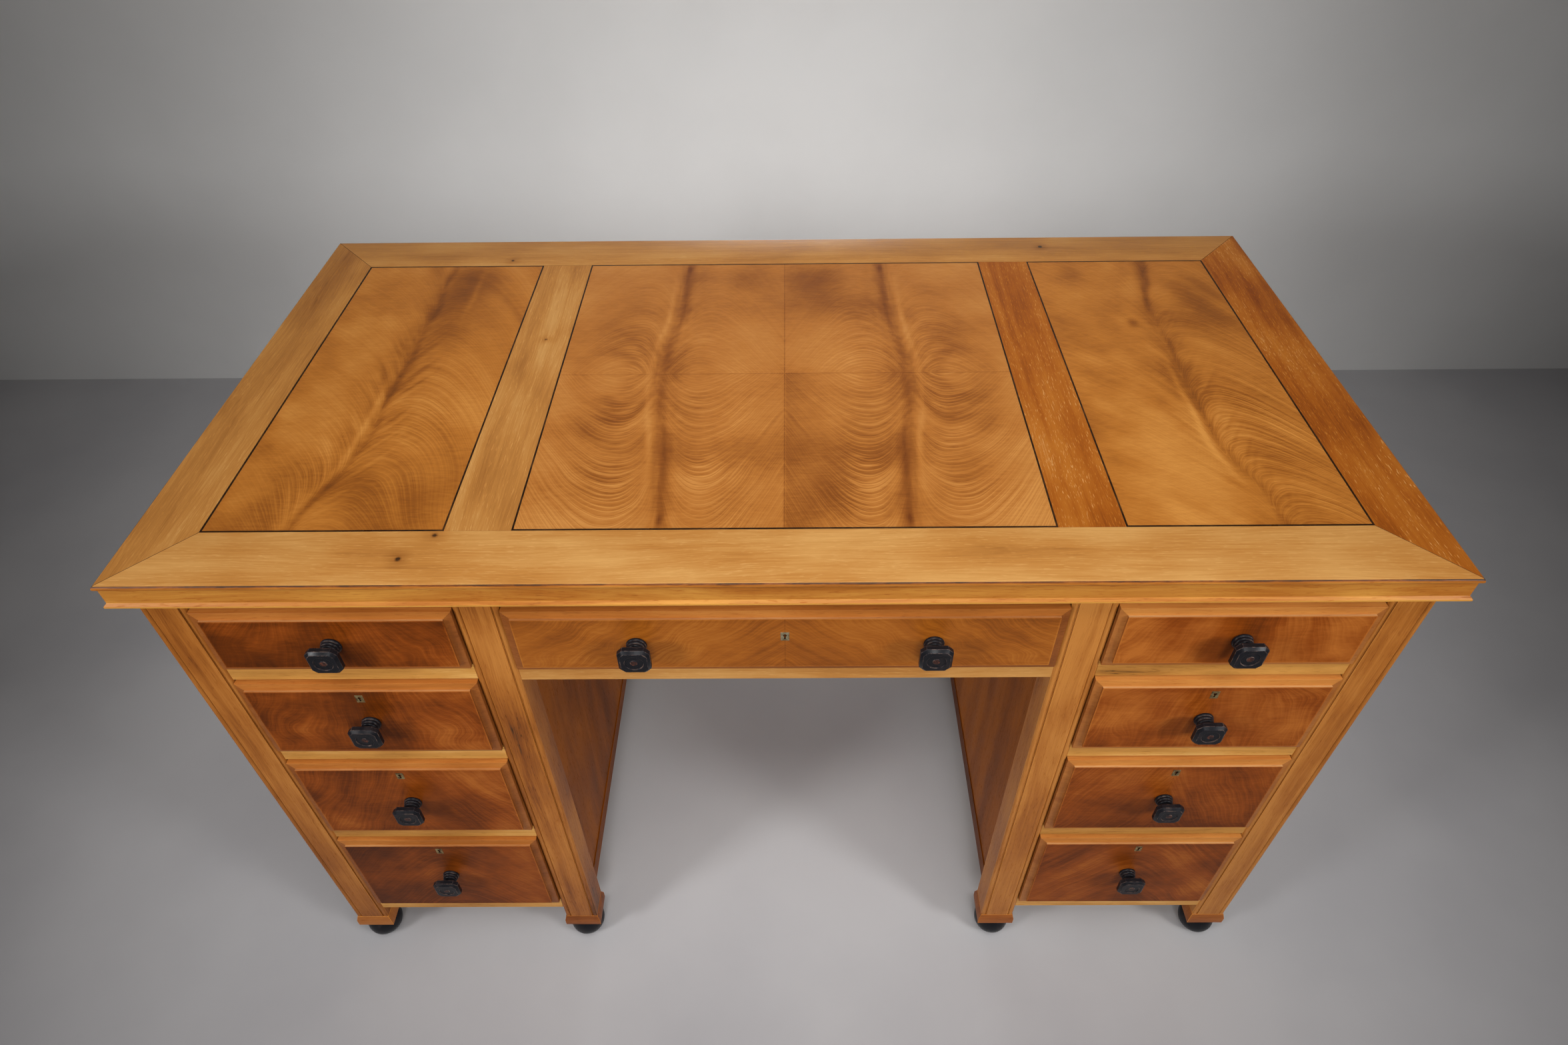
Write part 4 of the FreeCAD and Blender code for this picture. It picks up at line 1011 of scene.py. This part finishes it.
@dataclass
class SidePanel(TopPanel):
    """One crotch leaf at an end of the top: a plume that rises from the front towards the back."""

    side: int = 1

    def figure(self, x: Array, y: Array) -> Figured:
        """The plume: ribs rise from the spine, and to its right they arch over and droop.

        With share counted outwards from the spine, a rib is level + 62 swag(share) - 120 share^1.5 to
        the right, and level + 190 times the root of share to the left.

        Args:
            x: Millimetres from the desk's middle.
            y: Millimetres towards the back.

        Returns:
            The figure.
        """
        hills = SmoothNoise(23 if self.side < 0 else 31)
        middle = (self.low.x + self.high.x) / 2 / MM
        up = y - self.low.y / MM
        tall = (self.high.y - self.low.y) / MM
        wander = hills.at(x, y, 34.0) * 4.0 + hills.at(x, y + 700, 13.0) * 1.4
        back = tall - up
        ends = (0.0, -30.0) if self.side < 0 else (26.0, 24.0)
        spine = middle + (-2 if self.side < 0 else 10) + ends[0] * hill(back, 70) + ends[1] * hill(up, 80)
        spine = spine + wander * 0.5
        beside = x - spine
        outward = np.abs(beside)
        share = np.clip(outward / 150, 0, 1)
        arch = 62 * swag(share) - 120 * share ** 1.5
        rise = 190 * np.sqrt(share)
        level = up - np.where(beside > 0, arch, rise) + wander * (0.5 + share)
        run = outward + 0.5 * up
        streaks = hills.at(beside * 8, up, 52.0)
        streak = 0.2 * hill(beside - 2, 5 + 2 * streaks) * (0.7 + 0.5 * streaks)
        streak += 0.1 * hill(beside, 20) * hill(up - 260, 190)
        pale = 0.2 * hill(beside + 9, 4) * hill(up - 170, 110) * (1 + 0.6 * streaks)
        # Barbs that leave the spine like those of a feather.
        barbs = hills.at(up - 1.7 * outward, outward * 0.3, 7.0) * hill(outward - 16, 20)
        pale = pale + (0.14 if self.side < 0 else 0.09) * barbs * hill(up - 190, 190)
        clouds = 0.1 * hills.at(level, run, 34.0) + 0.07 * hills.at(x, y, 75.0)
        if self.side < 0:
            smudge = 0.26 * hill(beside - 30, 30) * hill(back - 70, 120)
            smudge -= 0.14 * hill(beside - 44, 4) * hill(back - 66, 50)
            corner = 0.13 * hill(beside - 75, 62) * hill(up - 60, 90)
            corner += 0.16 * hill(beside + 34, 26) * hill(up, 42)
            glow = 0.12 * hill(beside + 72, 44) * hill(up - 210, 170)
            crisp = 0.2 + 0.4 * hill(beside - 60, 60) * hill(up - 170, 150)
            crisp += 0.4 * hill(beside + 30, 26) * hill(up - 60, 120)
        else:
            smudge = 0.18 * hill(beside - 62, 46) * hill(back - 110, 90)
            smudge += 0.14 * hill(beside + 2, 9) * hill(back, 130)
            smudge += 0.36 * hill(np.hypot(x - middle + 16, (back - 158) * 0.7), 7)
            corner = 0.07 * hill(beside - 40, 26) * hill(up - 120, 110)
            glow = 0.17 * hill(beside + 62, 60) * hill(up - 110, 130)
            crisp = 0.25 + 1.0 * hill(beside - 66, 52) * hill(up - 130, 160)
        shade = pale + glow + clouds - streak - smudge - corner
        return Figured(level, run, crisp * (1 + 0.35 * hills.at(x, y, 50.0)), shade)


@dataclass
class Top:
    """The top: moulded border, cross rails, stringing, core board and the veneer panels."""

    end_border_mm: float = 68.6
    long_border_mm: float = 72.5

    def board_at(self, point: Vector) -> int:
        """Which border board a point is in: 0 front, 1 back, 2 left, 3 right.

        The mitre is where the distances from both edges are the same part of the boards' widths.
        """
        low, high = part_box("top_border")
        from_end = min(point.x - low.x, high.x - point.x) / self.end_border_mm
        from_long = min(point.y - low.y, high.y - point.y) / self.long_border_mm
        if from_long < from_end:
            return 0 if point.y < 0 else 1
        return 2 if point.x < 0 else 3

    @staticmethod
    def painted_border_light(centre: Array) -> Array:
        """Painted light, stronger towards the front right: the front board is painted palest and the left one
        darkest.
        """
        long_board = np.where(centre[:, 1] < -0.2, 0.3, -0.1)
        return np.where(np.abs(centre[:, 0]) < 0.1, long_board, np.where(centre[:, 0] < 0, -0.25, 0.12))

    @staticmethod
    def pick_border(table: FaceTable) -> Array:
        """2 for the moulded edge, 1 for the flat of the right board and 0 for the other flats."""
        is_right = table.low[table.board][:, 0] > 0.5
        return np.where(table.normal[:, 2] > 0.9, is_right.astype(int), 2)

    def build(self, frame: Frame) -> None:
        """Builds the whole top.
        """
        Boards("top_border", [FINISHES.honey, FINISHES.red_honey, FINISHES.fascia], seed=5, tone_spread=0.0,
               tone=self.painted_border_light, edge_material=2, part=self.board_at,
               pick=self.pick_border).build(frame)
        Boards("top_cross_rails", [FINISHES.honey, FINISHES.red_honey], 0.0, seed=7, tone_spread=0.1,
               pick=lambda table: table.centre[:, 0] > 0).build(frame)
        dress_node(frame, "top_stringing", FINISHES.stringing)
        dress_node(frame, "top_core", FINISHES.core)
        low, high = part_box("top_centre_panel")
        MiddlePanel("middle_panel_veneer", "top_centre_panel", FINISHES.crotch, low, high,
                    seams_mm=(0.0, (low.y + high.y) / 2 / MM)).build()
        low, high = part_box("top_side_panels")
        line = low.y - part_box("top_stringing")[0].y
        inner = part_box("top_cross_rails")[1].x + line
        SidePanel("left_panel_veneer", "top_side_panels", FINISHES.side_crotch, low,
                  Vector((-inner, high.y, high.z)), side=-1).build()
        SidePanel("right_panel_veneer", "top_side_panels", FINISHES.side_crotch,
                  Vector((inner, low.y, low.z)), high).build()


def dress_node(frame: Frame, node: str, finish: Finish) -> None:
    """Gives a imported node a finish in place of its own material.

    Args:
        node: The node's name.
        finish: Its new finish.
    """
    mesh = frame["nodes"][node].data
    for index in range(len(mesh.materials)):
        mesh.materials[index] = finish.made
    log.info("%s keeps its solid", node)


@dataclass
class Carcass:
    """Posts, rails, panels, runners and feet."""

    bead_mm: float = 6.4
    quirk_mm: float = 1.0
    post_mm: float = 44.6

    def pick_post(self, table: FaceTable) -> Array:
        """1 for the quirks beside the beads of the front posts, which take the painted shade, 0 elsewhere."""
        low = table.low[table.board][:, 0]
        inset = (table.centre[:, 0] - low) / MM
        from_edge = np.minimum(inset, self.post_mm - inset)
        near = CLOSE_MM / 2
        in_quirk = (from_edge > self.bead_mm - near) & (from_edge < self.bead_mm + self.quirk_mm + near)
        return in_quirk & (np.abs(table.normal[:, 2]) < 0.5) & (table.normal[:, 1] < 0.5)

    def build(self, frame: Frame) -> None:
        """Dresses every board of the carcass.
        """
        post, arris, panel, rail = FINISHES.post, FINISHES.post_arris, FINISHES.panel, FINISHES.rail
        of_post = {"tone_spread": 0.15, "tone": lambda centre: np.where(centre[:, 0] < 0, -0.35, 0.35)}
        upright = {"edge_mm": 0.3, "grain": Grain.UPRIGHT, "slot": "dark_walnut"}
        for boards in (
            # A narrower rounding than elsewhere keeps the 1 mm quirks beside the beads, painted with shade.
            Boards("front_posts", [post, FINISHES.quirk, arris], 0.355, seed=3, pick=self.pick_post,
                   edge_material=2, **of_post),
            Boards("back_posts", [post, arris], 0.6, seed=4, edge_material=1, **of_post),
            Boards("drawer_rails_left", [rail], 0.4, seed=8),
            Boards("drawer_rails_right", [rail], 0.4, seed=9),
            Boards("centre_drawer_rails", [FINISHES.honey], 0.4, seed=10),
            Boards("end_panels", [panel], seed=12, **upright),
            Boards("kneehole_panels", [panel], seed=13, tone_spread=0.1,
                   tone=lambda centre: np.where(centre[:, 0] > 0, 0.7, 0.1), **upright),
            Boards("back_panels", [panel], seed=14, **upright),
            Boards("bottom_rails", [panel], seed=15, slot="dark_walnut",
                   tone=lambda centre: np.full(len(centre), -0.4)),
            Boards("back_apron", [panel], seed=16, slot="dark_walnut"),
            # The outer blocks, past 0.45 m, are paler than those beside the kneehole.
            Boards("foot_blocks", [FINISHES.foot_block, arris], 0.6, Grain.ACROSS, seed=17,
                   edge_material=1, tone_spread=0.2,
                   tone=lambda centre: np.where(np.abs(centre[:, 0]) > 0.45, 0.3, -0.3)),
            Boards("ball_feet", [FINISHES.ebonised], 0.0, slot="ebonised_wood"),
        ):
            boards.build(frame)
        dress_node(frame, "drawer_runners", FINISHES.lining)


@dataclass
class Drawer:
    """One drawer: dressed front, veneer on its raised field, box, knobs, lock and bolt."""

    name: str
    figure_kind: Figure
    tone: float = 0.0
    margin_mm: float = 8.4
    veneer_mm: float = 0.25
    button_mm: float = 3.7
    button_depth_mm: float = 1.5
    plate_rim_mm: float = 0.6
    pedestal_from_mm: float = 300.0

    @property
    def is_middle(self) -> bool:
        """Whether this is the drawer over the kneehole."""
        return self.name.startswith("centre")

    @property
    def seed(self) -> int:
        """A random seed of the drawer's own."""
        return letter_sum(self.name)

    def pick_front(self, table: FaceTable) -> Array:
        """1 for the top margin and the upper edge, painted lighter as lit faces, 2 for the raised field's
        upper step, a painted highlight, 0 elsewhere.
        """
        top = table.high[0][2] - self.margin_mm * MM
        lit_top = (table.centre[:, 2] > top + CLOSE_MM * MM) & (np.abs(table.normal[:, 0]) < 0.1)
        step = (np.abs(table.centre[:, 2] - top) < CLOSE_MM * MM) & (table.normal[:, 2] > 0.9)
        return lit_top + 2 * step

    def pick_knob(self, table: FaceTable) -> Array:
        """2 for the button in the middle of a knob's face, 0 elsewhere.

        A face is in the button when even its furthest corner is within the button's radius of the axis.
        """
        low, high = table.low[table.board], table.high[table.board]
        middle = (low + high) / 2
        off = table.corner_places - middle[table.face_of_corner]
        reach = np.zeros(len(table.centre))
        np.maximum.at(reach, table.face_of_corner, np.hypot(off[:, 0], off[:, 2]))
        in_face = table.centre[:, 1] < low[:, 1] + self.button_depth_mm * MM
        return np.where((reach < self.button_mm * MM) & in_face, 2, 0)

    def pick_lock(self, table: FaceTable, plate: Rectangle) -> Array:
        """1 for the walls of the keyhole and for the case's front, seen through it, which take the painted
        shade, 0 elsewhere.

        Args:
            table: The lock's faces.
            plate: Low x, low z, high x and high z of the plate in millimetres.

        Returns:
            One material number for each face.
        """
        middle = np.array([plate[0] + plate[2], plate[1] + plate[3]]) / 2 * MM
        room = (np.array([plate[2] - plate[0], plate[3] - plate[1]]) / 2 - self.plate_rim_mm) * MM
        off = np.abs(table.corner_places[:, [0, 2]] - middle) - room
        furthest = np.full(len(table.centre), -1.0)
        np.maximum.at(furthest, table.face_of_corner, off.max(1))
        behind = table.centre[:, 1] > table.low[:, 1].min() + CLOSE_MM * MM
        return behind & ((furthest < 0) | (table.normal[:, 1] < -0.9))

    def front_figure(self, low: Vector, high: Vector) -> Callable[[Array, Array], Figured]:
        """The figure of the front's veneer, matched about its upright middle line.

        Ribs are lines of equal |x| less a slope times the depth below the top, so they lean out downwards.

        Args:
            low: The field's lowest corner in metres.
            high: The field's highest corner in metres.

        Returns:
            The figure as a function of x and z in millimetres.
        """
        middle = (low.x + high.x) / 2 / MM
        bottom, top = low.z / MM, high.z / MM
        hills = SmoothNoise(self.seed)

        def figure(x: Array, z: Array) -> Figured:
            """The figure at x and z in millimetres."""
            out = np.abs(x - middle)
            down, up = top - z, z - bottom
            curl = hills.at(out, z, 42.0) * 9 + hills.at(out, z + 400, 19.0) * (6 if self.is_middle else 3)
            fade = 1 - hill(out, 60)
            if self.figure_kind is Figure.FAN:
                level = out / (1 + down / 150) + curl * (0.3 + 1.2 * fade)
                clouds = 0.12 * hills.at(out + 90, z * 1.3, 27.0) * fade
            elif self.figure_kind is Figure.PEAK:
                slope, base = (1.2, 0.9) if self.is_middle else (0.5, 0.3)
                level = out - slope * down + curl * (base + 0.8 * fade)
                clouds = 0.07 * hills.at(out + 90, z, 36.0) * fade
            else:
                level = np.hypot(out, 26) - 0.8 * down + curl * 0.4
                clouds = 0.05 * hills.at(level, out, 22.0)
            run = down + 0.2 * out
            flame = 0.08 * hill(out - 26, 16) * (0.5 + 0.5 * np.sin(level / 7.0))
            pip = (0.05 if self.is_middle else 0.1) * hill(out - 4, 12)
            pip = pip * hill(down - (top - bottom) * 0.3, 26)
            rim = 0.07 * hill(np.minimum(down, up), 7) + 0.05 * hill(out - (high.x - low.x) / 2 / MM, 9)
            clouds = clouds + 0.07 * hills.at(out, z, 55.0) + 0.04 * hills.at(x, z, 80.0)
            if middle < -self.pedestal_from_mm:
                # Painted light: the left fronts are painted lighter towards the kneehole.
                clouds = clouds + 0.0006 * (x - middle)
            crisp = 0.8 + 0.5 * hills.at(x + 200, z, 45.0)
            return Figured(level, run, crisp, clouds + self.tone - flame - pip - rim)

        return figure

    def build(self, frame: Frame) -> None:
        """Builds the drawer's dress.
        """
        front, lock = f"{self.name}_front", f"{self.name}_lock"
        low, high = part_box(front)
        plate = self.plate_hole(frame["nodes"][lock].data) if lock in frame["nodes"] else None
        Boards(front, [FINISHES.margin, FINISHES.top_margin, FINISHES.field_arris], 0.5, Grain.ACROSS,
               self.seed, self.name, "dark_walnut", tone_spread=0.2, pick=self.pick_front,
               tone=lambda centre: np.where(centre[:, 0] > self.pedestal_from_mm * MM, 0.7, 0.0)).build(frame)
        inset = Vector((self.margin_mm * MM, 0.0, self.margin_mm * MM))
        (left, _, bottom), (right, _, top) = in_mm(low + inset), in_mm(high - inset)
        face = low.y / MM - self.veneer_mm * 0.6
        sheet = VeneerSheet(f"{self.name}_veneer", (left, bottom), (right, top), step_mm=3.0,
                            seams_mm=((low.x + high.x) / 2 / MM, None), hole_mm=plate)
        item = sheet.build(lambda x, z: np.stack([x, np.full(len(x), face), z], 1),
                           self.front_figure(low + inset, high - inset),
                           FINISHES.middle_veneer if self.is_middle else FINISHES.drawer_veneer,
                           self.veneer_mm)
        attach(item, self.name)
        dress_node(frame, f"{self.name}_box", FINISHES.lining)
        Boards(f"{self.name}_knobs" if self.is_middle else f"{self.name}_knob",
               [FINISHES.ebonised, FINISHES.ebonised_edge, FINISHES.button], 0.45, Grain.LONGEST,
               self.seed, self.name, "ebonised_wood", edge_material=1, pick=self.pick_knob).build(frame)
        if plate is not None:
            brass = FINISHES.clean_brass if self.is_middle else FINISHES.brass
            Boards(lock, [brass, FINISHES.keyhole], 0.0, body=self.name, slot="brass",
                   pick=lambda table: self.pick_lock(table, plate)).build(frame)
            dress_node(frame, f"{lock}_bolt", brass)

    @staticmethod
    def plate_hole(mesh: Mesh) -> Rectangle:
        """The key plate's rectangle on the field, found from the lock's vertices furthest forward.

        Args:
            mesh: The lock's mesh.

        Returns:
            Low x, low z, high x and high z in millimetres.
        """
        places = read_values(mesh.vertices, "co", np.float32, 3)
        plate = places[places[:, 1] < places[:, 1].min() + 2 * CLOSE_MM * MM][:, [0, 2]] / MM
        return tuple(map(float, (*plate.min(0), *plate.max(0))))


@dataclass(frozen=True)
class Lamp:
    """One square soft lamp that faces its target; the last three are metres, watts and degrees."""

    name: str
    place_m: Triple
    target_m: Triple
    size_m: float
    power: float
    spread_deg: float

    def build(self) -> None:
        """Hangs the lamp."""
        data = bpy.data.lights.new(self.name, "AREA")
        data.size = self.size_m
        data.energy = self.power
        data.spread = math.radians(self.spread_deg)
        aim = (Vector(self.target_m) - Vector(self.place_m)).to_track_quat("-Z", "Y")
        link_new(self.name, data).matrix_world = Matrix.Translation(self.place_m) @ aim.to_matrix().to_4x4()


LAMPS = (
    Lamp("left_lamp", (-1.9, -1.5, 1.5), (-0.1, -0.1, 0.4), 0.5, 3.8, 66.0),
    Lamp("right_lamp", (1.9, -1.5, 1.5), (0.1, -0.1, 0.4), 0.5, 3.8, 66.0),
    Lamp("back_lamp", (0.0, 2.8, 0.35), (0.0, 0.34, 0.37), 0.8, 2.6, 44.0),
    Lamp("over_lamp", (0.15, -0.8, 2.8), (0.0, 0.45, 0.6), 1.2, 6.2, 66.0),
    Lamp("front_lamp", (0.1, -2.4, 2.2), (0.0, 0.3, 0.3), 0.9, 3.3, 58.0),
)


@dataclass
class Studio:
    """The photograph's camera, a pale floor and wall, and broad soft lamps."""

    eye_m: Triple = (0.00706, -0.9190, 1.4071)
    pitch_deg: float = 43.21
    roll_deg: float = -0.774
    yaw_deg: float = 0.617
    lens_mm: float = 21.854
    sensor_mm: float = 36.0
    wall_m: float = 1.14
    wall_height_m: float = 5.0
    floor_half_m: float = 6.0
    sky: float = 0.06

    def build_camera(self) -> None:
        """Sets the camera where the photograph was taken: yaw, then pitch, then roll."""
        data = bpy.data.cameras.new("photo_camera")
        data.sensor_width = self.sensor_mm
        data.lens = self.lens_mm
        camera = link_new("photo_camera", data)
        turn = Matrix.Translation(self.eye_m)
        for degrees, axis in ((self.yaw_deg, "Z"), (90 - self.pitch_deg, "X"), (self.roll_deg, "Z")):
            turn = turn @ Matrix.Rotation(math.radians(degrees), 4, axis)
        camera.matrix_world = turn
        bpy.context.scene.camera = camera

    def build_room(self) -> None:
        """Builds the floor and the wall as two flat sheets."""
        half, wall, tall = self.floor_half_m, self.wall_m, self.wall_height_m
        quad = np.array([[0, 1, 2, 3]])
        floor = np.array([[-half, -half, 0], [half, -half, 0], [half, half, 0], [-half, half, 0]])
        place_mesh("floor", floor, quad, FINISHES.floor)
        upright = np.array([[-half, wall, 0], [half, wall, 0], [half, wall, tall], [-half, wall, tall]])
        back_wall = place_mesh("wall", upright, quad, FINISHES.wall)
        # The lamp behind the wall shines through it.
        back_wall.visible_shadow = False

    def build(self) -> None:
        """Builds the whole studio, whose soft shadows fall towards the desk's middle."""
        self.build_camera()
        self.build_room()
        for lamp in LAMPS:
            lamp.build()
        world = bpy.data.worlds.new("studio_air")
        world.use_nodes = True
        air = world.node_tree.nodes["Background"].inputs
        air["Color"].default_value = (1.0, 1.0, 1.0, 1.0)
        air["Strength"].default_value = self.sky
        bpy.context.scene.world = world
        bpy.context.scene.view_settings.view_transform = "Standard"
        log.info("studio")


DRAWERS = (
    Drawer("left_drawer_1", Figure.FAN, -0.06),
    Drawer("left_drawer_2", Figure.FAN, -0.03),
    Drawer("left_drawer_3", Figure.PEAK, -0.02),
    Drawer("left_drawer_4", Figure.ARCH, -0.16),
    Drawer("centre_drawer", Figure.PEAK),
    Drawer("right_drawer_1", Figure.FAN, 0.14),
    Drawer("right_drawer_2", Figure.FAN, 0.06),
    Drawer("right_drawer_3", Figure.PEAK),
    Drawer("right_drawer_4", Figure.ARCH, -0.06),
)


def main() -> None:
    """Loads the solids, dresses them and builds the studio."""
    logging.basicConfig(level=logging.INFO, format="%(name)s %(message)s")
    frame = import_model()
    Studio().build()
    for piece in (Top(), Carcass(), *DRAWERS):
        piece.build(frame)


if __name__ == "__main__":
    main()
